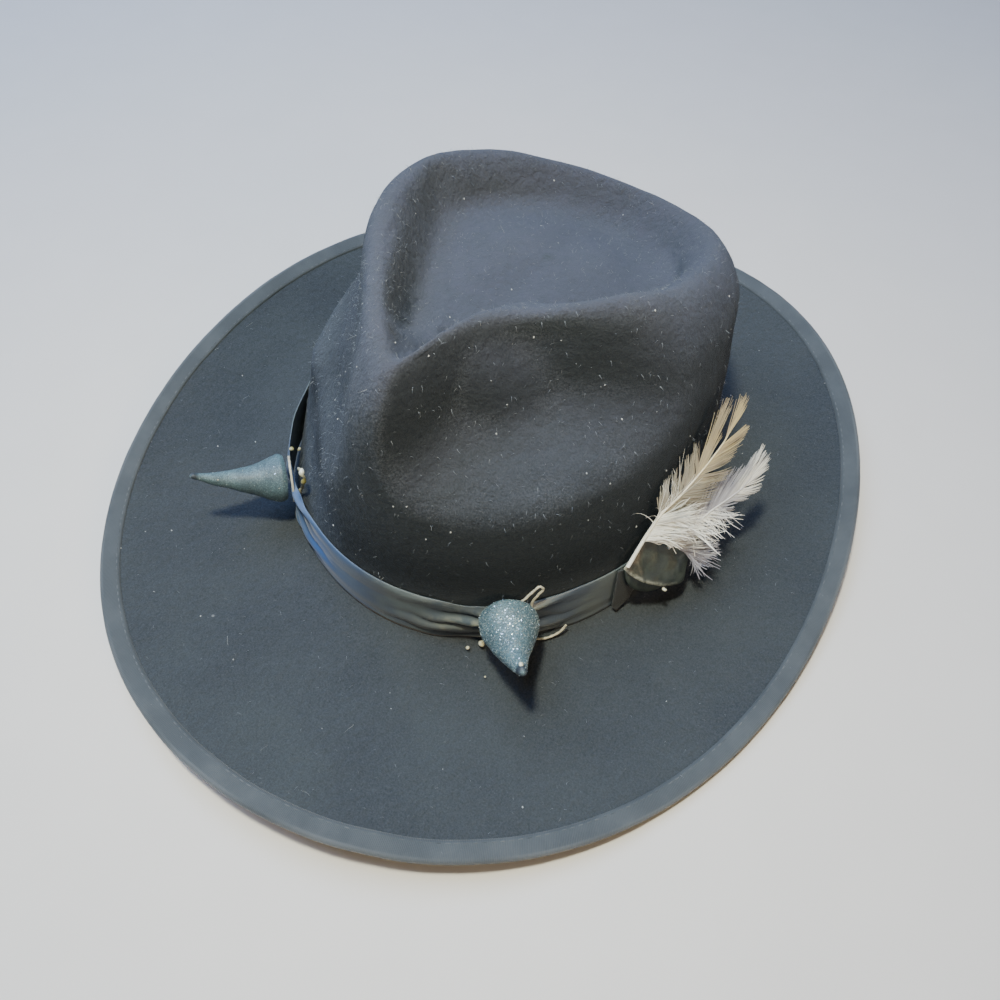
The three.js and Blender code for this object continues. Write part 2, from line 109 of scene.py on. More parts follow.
# Line along the foot of the dish's right wall, front to back: x, y, the height the dish has there,
# and how fully it is cut down to that height. The wall beside the line has a width of its own, and
# the cut fades away inside the dish.
DISH_LINE = (
    (-9, -61, 104, 0),
    (-14.5, -52, 98.5, 0.7),
    (-22, -37, 94.5, 1),
    (-30, -20, 93, 1),
    (-40, -1.5, 92, 1),
    (-48, 15, 91, 0.9),
    (-51, 27, 89, 0.5),
    (-50, 36, 87, 0),
)
DISH_WALL_WIDTH = 6.5
DISH_CUT_FADE = (14, 24)

# Left crest, front to back: x, y, how far it drops there, or rises where that is below zero, and
# over how wide a strip.
CREST_SAG = (
    (6, -60, 0, 11),
    (12, -46, 2, 12),
    (19.4, -31, 3.4, 12),
    (31, -19, -1, 12),
    (42, -11, -3.6, 12),
    (51, -5, -2, 12),
    (58, 1, 0, 12),
)
# Heights between which the shaping of the top takes hold.
TOP_SHAPING = (62, 80)
# Points of the smooth curve through either line.
LINE_POINTS = 70
# The crest is rounder behind these angles, between these sections; its rows are evened out this often.
SOFT_CREST_RIGHT = (-60, -110)
SOFT_CREST_LEFT = (100, 140)
SOFT_CREST_SECTIONS = (1.2, 3.6)
SOFT_CREST_PASSES = 14

# Ribbon band: heights of its edges and how far it stands off the felt, by angle from the front.
BAND_COLUMNS = ("angle", "top", "bottom", "lift")
BAND_STATIONS = (
    (-180, 28.5, 3.5, 0.2),
    (-84, 28.5, 3.5, 0.2),
    (-66, 28.5, 4, 0.4),
    (-54, 28.5, 5, 1.9),
    (-46, 27, 7, 2.2),
    (-38, 25, 9, 1),
    (-31, 27, 7, 0.4),
    (-20, 28.5, 3.5, 0.2),
    (17, 28.5, 3.5, 0.2),
    (27, 27, 6, 0.3),
    (34, 25, 9, 0.4),
    (41, 27, 6, 0.3),
    (52, 27.5, 3.5, 0.2),
    (180, 28.5, 3.5, 0.2),
)
SEAT_GAP = 0.35
BAND_COVER = 0.8

# Where the ribbon is gathered under each horn: the angle, how far the folds run before it and after
# it, and how many folds there are across the ribbon.
GATHERS = (
    (34.5, 19, 11, 3.2),
    (-38, 8, 16, 3.2),
)
# Share by which the folds are flattened where the cord draws them in, and over how many degrees.
GATHER_PINCH = 0.6
GATHER_PINCH_WIDTH = 3.5

# Horns: small curved cones that stand out from the gathered band. Drift is how far the tip swings
# sideways, gap is the air behind the foot, shade is how much painted shade darkens the whole coat,
# and glitter is how many flakes are left on it.
HORNS = (
    {"name": "left", "angle": 34.5, "height": 24.0, "length": 34.5, "tilt_at_tip": 48, "drift": 2.6,
     "gap": 0.9, "shade": 0.0, "glitter": 1.0},
    {"name": "right", "angle": -38.8, "height": 24.2, "length": 36.5, "tilt_at_tip": 37, "drift": 0,
     "gap": 3.2, "shade": 0.12, "glitter": 0.04},
)
HORN_TILT_AT_FOOT = 12
# The rings of a horn crowd towards its foot, and the last one is drawn in for a blunt tip.
HORN_CROWDING = 1.15
HORN_LAST_RING = 0.985
HORN_TIP_DRAWN_IN = 0.72
HORN_COLUMNS = ("along", "radius")
HORN_STATIONS = {
    "left": ((0, 8), (0.06, 10.3), (0.18, 10.8), (0.4, 8.1), (0.65, 4.7), (0.87, 2.5), (0.97, 1.6)),
    "right": (
        (0, 9.1), (0.05, 9.8), (0.12, 9.1), (0.25, 7.2),
        (0.45, 4.8), (0.7, 2.8), (0.87, 1.7), (0.97, 1.2),
    ),
}

# Thin cord behind the foot of each horn: degrees from the horn, height, and distance off the felt.
TIE_COLUMNS = ("turn", "height", "standoff")
LEFT_TIE = (
    (-5.2, 17.5, 2.8),
    (-5.1, 21, 3),
    (-4.6, 25, 3),
    (-2.8, 28.5, 3),
    (0.4, 30, 3),
    (3.3, 32, 3.2),
    (5.4, 35.6, 3.2),
    (7.5, 38.2, 3.2),
    (8.1, 36.8, 3.2),
    (6.9, 34, 3.2),
    (5.5, 30, 3),
    (5.3, 25, 3),
    (5.5, 19, 3),
    (5.6, 12, 3),
    (6.7, 4.4, 3.2),
    (8.3, 3.8, 3.4),
    (10.5, 4, 3.4),
    (12.4, 5.2, 3.4),
    (13.8, 8, 3),
)
RIGHT_TIE = (
    (-7.5, 17, 2.8),
    (-5.4, 21, 3),
    (-4.6, 27, 3),
    (-2.4, 31, 3),
    (0.6, 31.8, 3),
    (3.6, 29.5, 3),
    (5.3, 25, 3),
    (5.2, 19, 3),
    (3.4, 14.5, 2.8),
)
TIES = {"left": LEFT_TIE, "right": RIGHT_TIE}
TIE_POINTS = 220
# The cord has two plies, which stand out a little from its core and wind round it in this length.
CORD_CORE = 0.92
CORD_PLIES = 2
CORD_PLY_DEPTH = 0.09
CORD_TWIST = 5.5 * MM

# Blobs of dried glue: x, y and z from the crown's centre, and their size.
GLUE_BLOBS = (
    (44.3, -93.1, 4.4, 2.4),
    (40.6, -97.3, 3.4, 1.3),
    (52.2, -103.2, 2.4, 0.9),
    (94.4, -41.2, 17.6, 1.9),
    (-65.6, -66.2, 19, 1.6),
    (-61.2, -73.2, 30, 1.5),
)
BLOB_SIDES = 24
BLOB_RINGS = 14
# Run of yellowed glue in the hollow behind the right horn: columns as for the cord.
GLUE_RUN = (
    (1.6, 32, 0.2),
    (4, 35.5, -0.8),
    (5.2, 32, -1.2),
    (4.6, 26, -1.2),
    (3, 20, -0.8),
    (1, 12, 0.4),
    (-0.8, 6, 1.4),
)
GLUE_RUN_POINTS = 90

# Folded tab that holds the quills: its front sheet's corners from the crown's centre, left then
# right, how far its sheets stand apart above and below, and how far each sags at its lower edge.
TAB_TOP_EDGE = ((80.5, -35.3, 39.9), (97.1, -25.5, 23.8))
TAB_LOWER_EDGE = ((79.1, -49.8, 30.9), (100.6, -31, 14.7))
TAB_DEPTHS = (1.8, 6.5)
TAB_SAGS = (3.6, 8.5)
TAB_WALL = 0.8
TAB_SQUARENESS = 0.75
TAB_BOW = 1.1
TAB_ROWS = 24
TAB_SIDES = 132

# Ribbon keeper across the band, in front of the tab: half its width, how far it slides sideways, and
# how far it stands off the band, by height.
KEEPER_ANGLE = 62.3
KEEPER_LENGTH = 24.5 * MM
KEEPER_THICKNESS = 0.7
KEEPER_BOW = 0.35 * MM
KEEPER_ROWS = 40
KEEPER_COLUMNS = ("height", "half_width", "slide", "stand")
KEEPER_STATIONS = (
    (28.5, 3.4, 1, 0.3),
    (20, 4, 1, 0.5),
    (11, 4.6, 1.1, 0.8),
    (6.5, 4.2, 0.3, 1),
    (4, 0.9, -2, 1.4),
)

# Quills of the feathers: x, y and z from the crown's centre, root to tip.
LONG_QUILL = (
    (79.7, -50, 34),
    (80.8, -38.5, 44.5),
    (81.8, -33.3, 49.9),
    (84.4, -24.8, 52.6),
    (86.2, -17.3, 55.7),
    (87.8, -9.6, 59.2),
    (89.2, 0.8, 65.1),
    (88.8, 4.6, 68.6),
)
SHORT_QUILL = (
    (88.8, -34.1, 33.6),
    (92.1, -25.1, 35.8),
    (94.2, -18.8, 37.7),
    (96.3, -13, 39),
    (99.5, -5.6, 40),
    (102, 0.6, 41.2),
    (103.3, 6.4, 44),
)
# The tab's upper edge, from which the down spreads.
DOWN_EDGE = (
    (82.5, -33.6, 37.4),
    (86.5, -31.4, 33.6),
    (91, -28.8, 29.2),
    (96.8, -25.6, 23.6),
)
FEATHER_FACING = np.array((0.75, -0.4, 0.53))
UP = np.array((0, 0, 1.0))
VANE_THICKNESS = 0.14 * MM
LONG_QUILL_POINTS = 400
SHORT_QUILL_POINTS = 360
DOWN_EDGE_POINTS = 200

# The photograph's camera: turned from the front, above the horizon, rolled, and its distance.
CAMERA_TARGET = np.array((13.1, -21.1, 0.8)) * MM
CAMERA_AZIMUTH = 28.8
CAMERA_ELEVATION = 55.6
CAMERA_ROLL = 3.7
CAMERA_DISTANCE = 334 * MM
CAMERA_LENS = 27.23
CAMERA_SENSOR = 36


def columns_of(names, rows):
    """A table of rows as one array for each named column."""
    return {name: np.array([row[index] for row in rows], float) for index, name in enumerate(names)}


def smoothstep(low, high, at):
    share = np.clip((at - low) / (high - low), 0, 1)
    return share * share * (3 - 2 * share)


def eased(table, key, column, at):
    """Value of a table's column between its rows, with a flat slope at each row."""
    keys = table[key]
    row = np.clip(np.searchsorted(keys, at) - 1, 0, len(keys) - 2)
    share = smoothstep(keys[row], keys[row + 1], at)
    return table[column][row] * (1 - share) + table[column][row + 1] * share


def curve_weights(share):
    """Cubic weights of a stretch's first point and slope and of its last point and slope."""
    first = 2 * share**3 - 3 * share**2 + 1
    leaving = share**3 - 2 * share**2 + share
    last = 3 * share**2 - 2 * share**3
    return first, leaving, last, share**3 - share**2


def curve_through(keys, values, at):
    """Smooth curve through a few values, by cubic pieces."""
    keys = np.asarray(keys, float)
    values = np.asarray(values, float)
    slopes = np.gradient(values, keys, axis=0)
    row = np.clip(np.searchsorted(keys, at) - 1, 0, len(keys) - 2)
    span = keys[row + 1] - keys[row]
    share = (at - keys[row]) / span
    if values.ndim > 1:
        share = share[:, None]
        span = span[:, None]
    first, leaving, last, arriving = curve_weights(share)
    start = first * values[row] + leaving * span * slopes[row]
    return start + (last * values[row + 1] + arriving * span * slopes[row + 1])


def lengths_along(points, closed=False):
    """Distance along a line to each of its points, and back to the first where it is closed."""
    steps = np.diff(points, axis=0, append=points[:1]) if closed else np.diff(points, axis=0)
    return np.concatenate(([0], np.cumsum(np.linalg.norm(steps, axis=1))))


def line_through(points, count):
    """Smooth line through a few points, with its own points evenly spaced."""
    lengths = lengths_along(points)
    return curve_through(lengths, points, np.linspace(0, lengths[-1], count))


def soft_noise(points, wavelength, seed, waves=7):
    """Smooth random field between about -1 and 1, made of a few plane waves."""
    random = np.random.RandomState(seed)
    directions = random.normal(size=(waves, 3))
    directions /= np.linalg.norm(directions, axis=1)[:, None]
    pace = 2 * math.pi / wavelength * random.uniform(0.7, 1.4, waves)
    phases = random.uniform(0, 2 * math.pi, waves)
    return np.sin(points @ (directions * pace[:, None]).T + phases).mean(axis=-1) * 1.8


def unit(vectors):
    return vectors / np.maximum(np.linalg.norm(vectors, axis=-1, keepdims=True), 1e-12)


def radial(angles):
    return np.stack((np.sin(angles), -np.cos(angles), np.zeros_like(angles)), axis=-1)


def tangential(angles):
    return np.stack((np.cos(angles), np.sin(angles), np.zeros_like(angles)), axis=-1)


def column_angles(count):
    return np.arange(count) / count * 2 * math.pi


def place_grid(first, second, indexing):
    """Two lists of lengths as the places of a grid's points on a flat ribbon."""
    return np.stack(np.meshgrid(first, second, indexing=indexing), axis=-1)


WAVES = columns_of(WAVE_COLUMNS, BRIM_WAVES)
BAND = columns_of(BAND_COLUMNS, BAND_STATIONS)
KEEPER = columns_of(KEEPER_COLUMNS, KEEPER_STATIONS)


# Felt surface

def guide_rows(angles):
    """Guide points down the felt's upper face, in millimetres from the crown's centre."""
    cosine = np.cos(angles)
    sine = np.sin(angles)
    pinch_base = np.hypot(np.sin(angles / 2), NOSE_ROUNDING) / math.hypot(1, NOSE_ROUNDING)
    rows = [np.tile(np.array(TOP_OF_DISH, float), (len(angles), 1))]
    for half_x, centre_y, half_y, front, side, back, pinch in FELT_SECTIONS:
        height = side + (front - back) / 2 * cosine + ((front + back) / 2 - side) * cosine**2
        x = half_x * sine * pinch_base**pinch
        rows.append(np.stack((x, centre_y - half_y * cosine, height), axis=1))
    turn = WAVES["turns"][:, None] * angles
    reach = (WAVES["reach"][:, None] * np.cos(turn) + WAVES["reach_sine"][:, None] * np.sin(turn)).sum(0)
    rise = (WAVES["height"][:, None] * np.cos(turn) + WAVES["height_sine"][:, None] * np.sin(turn)).sum(0)
    edge = np.stack(
        (
            (EDGE_HALF_X + reach) * sine,
            EDGE_CENTRE_Y - (EDGE_HALF_Y + reach) * cosine,
            EDGE_HEIGHT + rise,
        ),
        axis=1,
    )
    start = rows[-1]
    binding_step = 1 - BINDING_WIDTH / np.linalg.norm(edge - start, axis=1)
    for step in (*BRIM_STEPS, binding_step, 1.0):
        share = np.broadcast_to(step, len(angles))
        point = start + (edge - start) * share[:, None]
        point[:, 2] = start[:, 2] + (edge[:, 2] - start[:, 2]) * share**BRIM_CURL_POWER
        rows.append(point)
    return np.stack(rows)


def press_dents(points, angles, section, dents):
    """Pushes dents into the outside of the crown."""
    off_the_dish = smoothstep(CREST_SECTION - 2, CREST_SECTION, section)
    for angle, height, before, after, above, below, depth in dents:
        turn = (np.degrees(angles) - angle + 180) % 360 - 180
        rise = points[:, 2] - height
        spread = np.hypot(turn / np.where(turn > 0, after, before), rise / np.where(rise > 0, above, below))
        push = depth * off_the_dish * (1 - smoothstep(0.3, 1, spread))
        points = points - unit(points * np.array((1, 1, 0))) * push[:, None]
    return points


def beside(points, stations):
    """For each point seen from above: how far it lies left of a line, and the line's values beside it."""
    stations = np.array(stations, float)
    line = curve_through(np.arange(len(stations)), stations, np.linspace(0, len(stations) - 1, LINE_POINTS))
    course = unit(np.gradient(line[:, :2], axis=0))
    away = points[:, :, None, :2] - line[None, None, :, :2]
    nearest = np.linalg.norm(away, axis=3).argmin(axis=2)
    away = np.take_along_axis(away, nearest[:, :, None, None], axis=2)[:, :, 0]
    side = course[nearest, 0] * away[..., 1] - course[nearest, 1] * away[..., 0]
    return np.copysign(np.linalg.norm(away, axis=2), side), line[nearest, 2], line[nearest, 3]


def shape_top(points):
    """Cuts the dish out to its right wall and gives the left crest its low and high places."""
    on_top = smoothstep(*TOP_SHAPING, points[..., 2])
    outside, height, share = beside(points, DISH_LINE)
    share = share * smoothstep(-DISH_WALL_WIDTH, 1, -outside) * (1 - smoothstep(*DISH_CUT_FADE, -outside))
    points[..., 2] -= share * on_top * np.maximum(points[..., 2] - height, 0)
    apart, drop, width = beside(points, CREST_SAG)
    points[..., 2] -= drop * np.exp(-((apart / width) ** 2)) * smoothstep(*TOP_SHAPING, points[..., 2])
    return points


def felt_surface(angles, steps, dents=FINGER_DENTS):
    """Upper face of the felt as rows of points from the crown's middle to the brim's edge, with normals."""
    guides = guide_rows(angles)
    before = np.concatenate((2 * guides[:1] - guides[1:2], guides[:-1]))
    after = np.concatenate((guides[1:], 2 * guides[-1:] - guides[-2:-1]))
    back = np.linalg.norm(guides - before, axis=2, keepdims=True)
    ahead = np.linalg.norm(after - guides, axis=2, keepdims=True)
    slopes = ((guides - before) * ahead / back + (after - guides) * back / ahead) / (back + ahead)
    rows = []
    for index in range(len(guides) - 1):
        span = ahead[index]
        for step in range(steps):
            share = step / steps
            first, leaving, last, arriving = curve_weights(share)
            point = guides[index] * first + slopes[index] * span * leaving
            point += guides[index + 1] * last + slopes[index + 1] * span * arriving
            rows.append(press_dents(point, angles, index + share, dents))
    rows.append(guides[-1])
    points = shape_top(np.stack(rows)) * MM + CROWN_CENTRE
    return points, surface_normals(points)


def surface_normals(points):
    around = np.roll(points, -1, axis=1) - np.roll(points, 1, axis=1)
    down = np.concatenate((points[1:], points[-1:])) - np.concatenate((points[:1], points[:-1]))
    return unit(np.cross(down, around))


def crown_wall(angles, heights, standoff):
    """Points on the outside of the crown at each angle, at heights above its foot, moved straight out.

    Heights and standoff are in millimetres, one row for each angle.
    """
    steps = 8
    outer_rows = slice(FIRST_OUTER_SECTION * steps, (BRIM_BREAK_SECTION + 1) * steps + 1)
    surface = felt_surface(angles, steps)[0][outer_rows]
    heights = np.broadcast_to(heights, (len(angles), np.shape(heights)[-1])) * MM + CROWN_CENTRE[2]
    found = np.empty((*heights.shape, 3))
    for column in range(len(angles)):
        downward = -surface[:, column, 2]
        for axis in range(3):
            found[column, :, axis] = np.interp(-heights[column], downward, surface[:, column, axis])
    outward = radial(angles)[:, None, :]
    return found + outward * np.broadcast_to(standoff, heights.shape)[..., None] * MM


def band_station(angles, column):
    degrees = (np.degrees(angles) + 180) % 360 - 180
    return eased(BAND, "angle", column, degrees)


def band_cover(angle):
    """How far the band's outer face stands off the felt, in millimetres."""
    return SEAT_GAP + float(band_station(np.array([angle]), "lift")[0]) + BAND_COVER


# Meshes

def grid_faces(rows, columns, joined_rows):
    """Quads of a grid that is closed round its rows, and the same corners with the seams unrolled."""
    row = np.arange(rows if joined_rows else rows - 1)
    r, c = np.meshgrid(row, np.arange(columns), indexing="ij")
    corners = ((r, c), (r + 1, c), (r + 1, c + 1), (r, c + 1))
    quads = np.stack([(a % rows) * columns + b % columns for a, b in corners], axis=-1).reshape(-1, 4)
    unrolled = np.stack([np.stack((a, b), axis=-1) for a, b in corners], axis=-2).reshape(-1, 4, 2)
    return quads, unrolled


def is_outward(points, quads):
    a, b, c, d = (points[quads[:, corner]] for corner in range(4))
    return float((a * np.cross(b, c)).sum() + (a * np.cross(c, d)).sum()) > 0


def grid_piece(name, grid, material, joined_rows=False, ends=None, uv=None, masks=None):
    """Closed piece through a grid of points; ends are the points that close its first and last row.

    uv holds one more row and column than the grid where they join; masks are arrays on the grid's points.
    """
    rows, columns = grid.shape[:2]
    points = grid.reshape(-1, 3)
    quads, unrolled = grid_faces(rows, columns, joined_rows)
    faces = quads.tolist()
    places = unrolled.tolist()
    if ends is not None:
        points = np.concatenate((points, np.array(ends)))
        first = rows * columns
        last_row = (rows - 1) * columns
        for column in range(columns):
            after = (column + 1) % columns
            faces.append([first, column, after])
            faces.append([first + 1, last_row + after, last_row + column])
            places.append([[0, column], [0, column], [0, column + 1]])
            places.append([[rows - 1, column], [rows - 1, column + 1], [rows - 1, column]])
    if not is_outward(points, quads):
        faces = [face[::-1] for face in faces]
        places = [place[::-1] for place in places]
    mesh = bpy.data.meshes.new(name)
    mesh.from_pydata(points.tolist(), [], faces)
    mesh.polygons.foreach_set("use_smooth", [True] * len(faces))
    if uv is not None:
        layer = mesh.uv_layers.new(name="lengths")
        corners = np.array([uv[r][c] for place in places for r, c in place])
        layer.data.foreach_set("uv", corners.ravel())
    for label, values in (masks or {}).items():
        padded = np.zeros(len(points), np.float32)
        padded[:rows * columns] = np.asarray(values, np.float32).ravel()
        mesh.attributes.new(label, "FLOAT", "POINT").data.foreach_set("value", padded)
    mesh.validate()
    return shown(name, mesh, material)


def in_scene(name, data):
    made = bpy.data.objects.new(name, data)
    bpy.context.scene.collection.objects.link(made)
    return made


def shown(name, mesh, material=None):
    if material is not None:
        mesh.materials.clear()
        mesh.materials.append(material)
    return in_scene(name, mesh)


def stands_for(piece, slot, *nodes):
    """Rides the piece on the hat and hides the frame's solids that it stands for."""
    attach(piece, BODY)
    if nodes:
        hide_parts(*nodes)
    return piece


def across_and_over(path):
    """Two cross directions that turn as little as possible along a path."""
    tangents = unit(np.gradient(path, axis=0))
    side = unit(np.cross(tangents[0], (0.1, 0.2, 1)))
    sides = [side]
    for tangent in tangents[1:]:
        side = unit(side - tangent * (side @ tangent))
        sides.append(side)
    sides = np.array(sides)
    return sides, np.cross(tangents, sides)


def tube_piece(name, path, radii, material, sides=12, lobes=0, lobe_depth=0.0, twist=0.0, masks=None):
    """Round tube along a path with closed ends; lobes that wind round it make it a plied cord."""
    across, over = across_and_over(path)
    turn = column_angles(sides)
    lengths = lengths_along(path)
    swell = 1 + lobe_depth * np.cos(lobes * (turn[None, :] - twist * lengths[:, None]))
    radii = np.broadcast_to(radii, len(path))[:, None] * swell
    grid = path[:, None, :] + across[:, None, :] * (radii * np.cos(turn))[..., None]
    grid += over[:, None, :] * (radii * np.sin(turn))[..., None]
    round_it = np.arange(sides + 1) / sides * 2 * math.pi * float(np.mean(radii))
    uv = place_grid(lengths, round_it, "ij")
    spread = {label: np.repeat(values[:, None], sides, axis=1) for label, values in (masks or {}).items()}
    return grid_piece(name, grid, material, ends=(path[0], path[-1]), uv=uv, masks=spread)


# Node helpers

GEOMETRY = "NodeSocketGeometry"
VECTOR = "NodeSocketVector"
FLOAT = "NodeSocketFloat"
WHOLE = "NodeSocketInt"
TEXT = "NodeSocketString"
FINISH = "NodeSocketMaterial"


def feed(tree, socket, value):
    """Gives a socket a number, a colour or another node's output."""
    if isinstance(value, bpy.types.NodeSocket):
        tree.links.new(value, socket)
    else:
        socket.default_value = value


def add(tree, kind, sockets=None, **settings):
    """Adds a node with its settings and with what its sockets are given."""
    made = tree.nodes.new(kind)
    for label, value in settings.items():
        setattr(made, label, value)
    for key, value in (sockets or {}).items():
        feed(tree, made.inputs[key], value)
    return made


def maths(tree, operation, first, second=0.0):
    return add(tree, "ShaderNodeMath", {0: first, 1: second}, operation=operation).outputs[0]


def times(tree, first, second):
    return maths(tree, "MULTIPLY", first, second)


def plus(tree, first, second):
    return maths(tree, "ADD", first, second)


def vector_sum(tree, first, second):
    return add(tree, "ShaderNodeVectorMath", {0: first, 1: second}, operation="ADD").outputs[0]


def scaled(tree, vector, scale):
    return add(tree, "ShaderNodeVectorMath", {0: vector, "Scale": scale}, operation="SCALE").outputs[0]


def blended(tree, share, first, second):
    """Mix of two colours."""
    made = add(tree, "ShaderNodeMix", {"Factor": share}, data_type="RGBA")
    for index, value in ((6, first), (7, second)):
        plain = not isinstance(value, bpy.types.NodeSocket)
        feed(tree, made.inputs[index], (*value[:3], 1) if plain else value)
    return made.outputs[2]


def ranged(tree, value, low, high, to_low=0.0, to_high=1.0):
    sockets = {"Value": value, "From Min": low, "From Max": high, "To Min": to_low, "To Max": to_high}
    return add(tree, "ShaderNodeMapRange", sockets).outputs[0]


def noise(tree, place, scale, detail=2.0, roughness=0.5):
    sockets = {"Vector": place, "Scale": scale, "Detail": detail, "Roughness": roughness}
    return add(tree, "ShaderNodeTexNoise", sockets).outputs[0]


def new_group(name, kind, inputs, outputs):
    """Empty node group with named inputs (label, socket type, default) and outputs."""
    tree = bpy.data.node_groups.new(name, kind)
    for label, socket_type, default in inputs:
        socket = tree.interface.new_socket(label, in_out="INPUT", socket_type=socket_type)
        if default is not None:
            socket.default_value = default
    for label, socket_type in outputs:
        tree.interface.new_socket(label, in_out="OUTPUT", socket_type=socket_type)
    return tree, tree.nodes.new("NodeGroupInput").outputs, tree.nodes.new("NodeGroupOutput").inputs


# Shader groups

def grain_group():
    """Felted or rough grain from two sizes of noise: a mask from 0 to 1 and a height."""
    tree, given, result = new_group(
        "Fibre grain",
        "ShaderNodeTree",
        (("Vector", VECTOR, None), ("Scale", FLOAT, 900.0), ("Fine Share", FLOAT, 0.4)),
        (("Mask", FLOAT), ("Height", FLOAT)),
    )
    coarse = noise(tree, given["Vector"], given["Scale"], 2.0, 0.6)
    fine = noise(tree, given["Vector"], times(tree, given["Scale"], 3.1), 2.0)
    sockets = {"Factor": given["Fine Share"], 2: coarse, 3: fine}
    mixed = add(tree, "ShaderNodeMix", sockets, data_type="FLOAT").outputs[0]
    tree.links.new(ranged(tree, mixed, 0.32, 0.68), result["Mask"])
    tree.links.new(mixed, result["Height"])
    return tree


def dust_group():
    """Small scattered specks: a mask that is 1 on a speck."""
    tree, given, result = new_group(
        "Dust specks",
        "ShaderNodeTree",
        (("Vector", VECTOR, None), ("Scale", FLOAT, 300.0), ("Amount", FLOAT, 0.1)),
        (("Mask", FLOAT),),
    )
    cells = add(tree, "ShaderNodeTexVoronoi", {"Vector": given["Vector"], "Scale": given["Scale"]})
    chosen = maths(tree, "LESS_THAN", cells.outputs["Color"], given["Amount"])
    core = ranged(tree, cells.outputs["Distance"], 0.32, 0.12)
    tree.links.new(times(tree, chosen, core), result["Mask"])
    return tree


def ribs_group():
    """Woven ribs along one direction of a ribbon's own length and width."""
    tree, given, result = new_group(
        "Ribbon ribs",
        "ShaderNodeTree",
        (
            ("Vector", VECTOR, None),
            ("Ribs per metre", FLOAT, 2000.0),
            ("Cross threads per metre", FLOAT, 4000.0),
            ("Unevenness", FLOAT, 0.4),
        ),
        (("Height", FLOAT), ("Mask", FLOAT)),
    )
    place = add(tree, "ShaderNodeSeparateXYZ", {0: given["Vector"]})
    wander = noise(tree, given["Vector"], 220.0, 1.0)
    shift = times(tree, wander, given["Unevenness"])
    turns = plus(tree, times(tree, place.outputs[0], given["Ribs per metre"]), shift)
    rib = maths(tree, "SINE", times(tree, turns, 2 * math.pi))
    cross_turns = times(tree, place.outputs[1], given["Cross threads per metre"])
    cross = maths(tree, "SINE", times(tree, cross_turns, 2 * math.pi))
    height = plus(tree, times(tree, rib, 0.4), times(tree, cross, 0.1))
    tree.links.new(plus(tree, height, 0.5), result["Height"])
    tree.links.new(ranged(tree, rib, -1.0, 1.0), result["Mask"])
    return tree


GROUP_MAKERS = {"Fibre grain": grain_group, "Dust specks": dust_group, "Ribbon ribs": ribs_group}


def effect(tree, name, sockets):
    """Places one of the shared shader groups in a material."""
    made = tree.nodes.new("ShaderNodeGroup")
    made.node_tree = bpy.data.node_groups.get(name) or GROUP_MAKERS[name]()
    for key, value in sockets.items():
        feed(tree, made.inputs[key], value)
    return made.outputs


# Materials

def surface(name, **values):
    """New material with its surface shader's plain values set, and the tree and shader to build on."""
    material = bpy.data.materials.new(name)
    material.use_nodes = True
    tree = material.node_tree
    shader = tree.nodes["Principled BSDF"]
    for label, value in values.items():
        socket = shader.inputs[label.replace("_", " ").title().replace("Ior", "IOR")]
        socket.default_value = (*value[:3], 1) if hasattr(value, "__len__") else value
    return material, tree, shader


def object_place(tree):
    return add(tree, "ShaderNodeTexCoord").outputs["Object"]


def ribbon_place(tree):
    return add(tree, "ShaderNodeUVMap", uv_map="lengths").outputs[0]


def attribute(tree, name):
    return add(tree, "ShaderNodeAttribute", attribute_name=name).outputs["Fac"]


def paint(tree, shader, base, roughness=None):
    """Connects a surface's colour, and its roughness where that varies."""
    tree.links.new(base, shader.inputs["Base Color"])
    if roughness is not None:
        tree.links.new(roughness, shader.inputs["Roughness"])


def dusted(tree, place, scale, amount, share, base, dust):
    """The colour with small specks of dust on it."""
    specks = effect(tree, "Dust specks", {"Vector": place, "Scale": scale, "Amount": amount})["Mask"]
    return blended(tree, times(tree, specks, share), base, dust)


def bump(tree, shader, height, distance):
    made = add(tree, "ShaderNodeBump", {"Strength": 1.0, "Distance": distance, "Height": height})
    tree.links.new(made.outputs[0], shader.inputs["Normal"])


def felt_material(look):
    material, tree, shader = surface(
        "brushed_felt",
        specular_ior_level=0.15,
        sheen_weight=look.sheen,
        sheen_roughness=0.42,
        sheen_tint=look.sheen_colour,
    )
    place = object_place(tree)
    grain = effect(tree, "Fibre grain", {"Vector": place, "Scale": look.grain_scale, "Fine Share": 0.5})
    broad = ranged(tree, noise(tree, place, 22.0, 3.0), 0.38, 0.66)
    mottled = ranged(tree, noise(tree, place, 160.0, 3.0, 0.6), 0.35, 0.7)
    base = blended(tree, broad, look.colour, look.colour_faded)
    base = blended(tree, times(tree, mottled, 0.35), base, look.colour_faded)
    base = blended(tree, times(tree, grain["Mask"], 0.6), base, look.colour_fibre)
    # Painted shade on the crown's walls.
    base = blended(tree, attribute(tree, "clean"), base, look.colour_wall_shade)
    worn = times(tree, attribute(tree, "wear"), ranged(tree, grain["Mask"], 0.35, 0.95))
    base = blended(tree, times(tree, worn, 0.8), base, look.colour_fibre)
    # Dust and painted light on the top.
    dusty = times(tree, attribute(tree, "dusty"), ranged(tree, mottled, 0.0, 1.0, 0.55, 0.85))
    base = blended(tree, dusty, base, look.colour_dust_and_light)
    base = dusted(tree, place, 420.0, 0.035, 0.4, base, look.colour_lint)
    paint(tree, shader, base, ranged(tree, grain["Mask"], 0.0, 1.0, 0.98, 0.85))
    lumps = times(tree, noise(tree, place, 330.0, 2.0), 1.5)
    bump(tree, shader, plus(tree, grain["Height"], lumps), look.grain_depth * MM)
    return material


def fibre_material(name, colour, tip):
    """Loose fibres, each with its own tone."""
    material, tree, shader = surface(name, roughness=0.85, specular_ior_level=0.2, sheen_weight=0.3)
    base = blended(tree, attribute(tree, "tone"), colour, tip)
    paint(tree, shader, base)
    return material


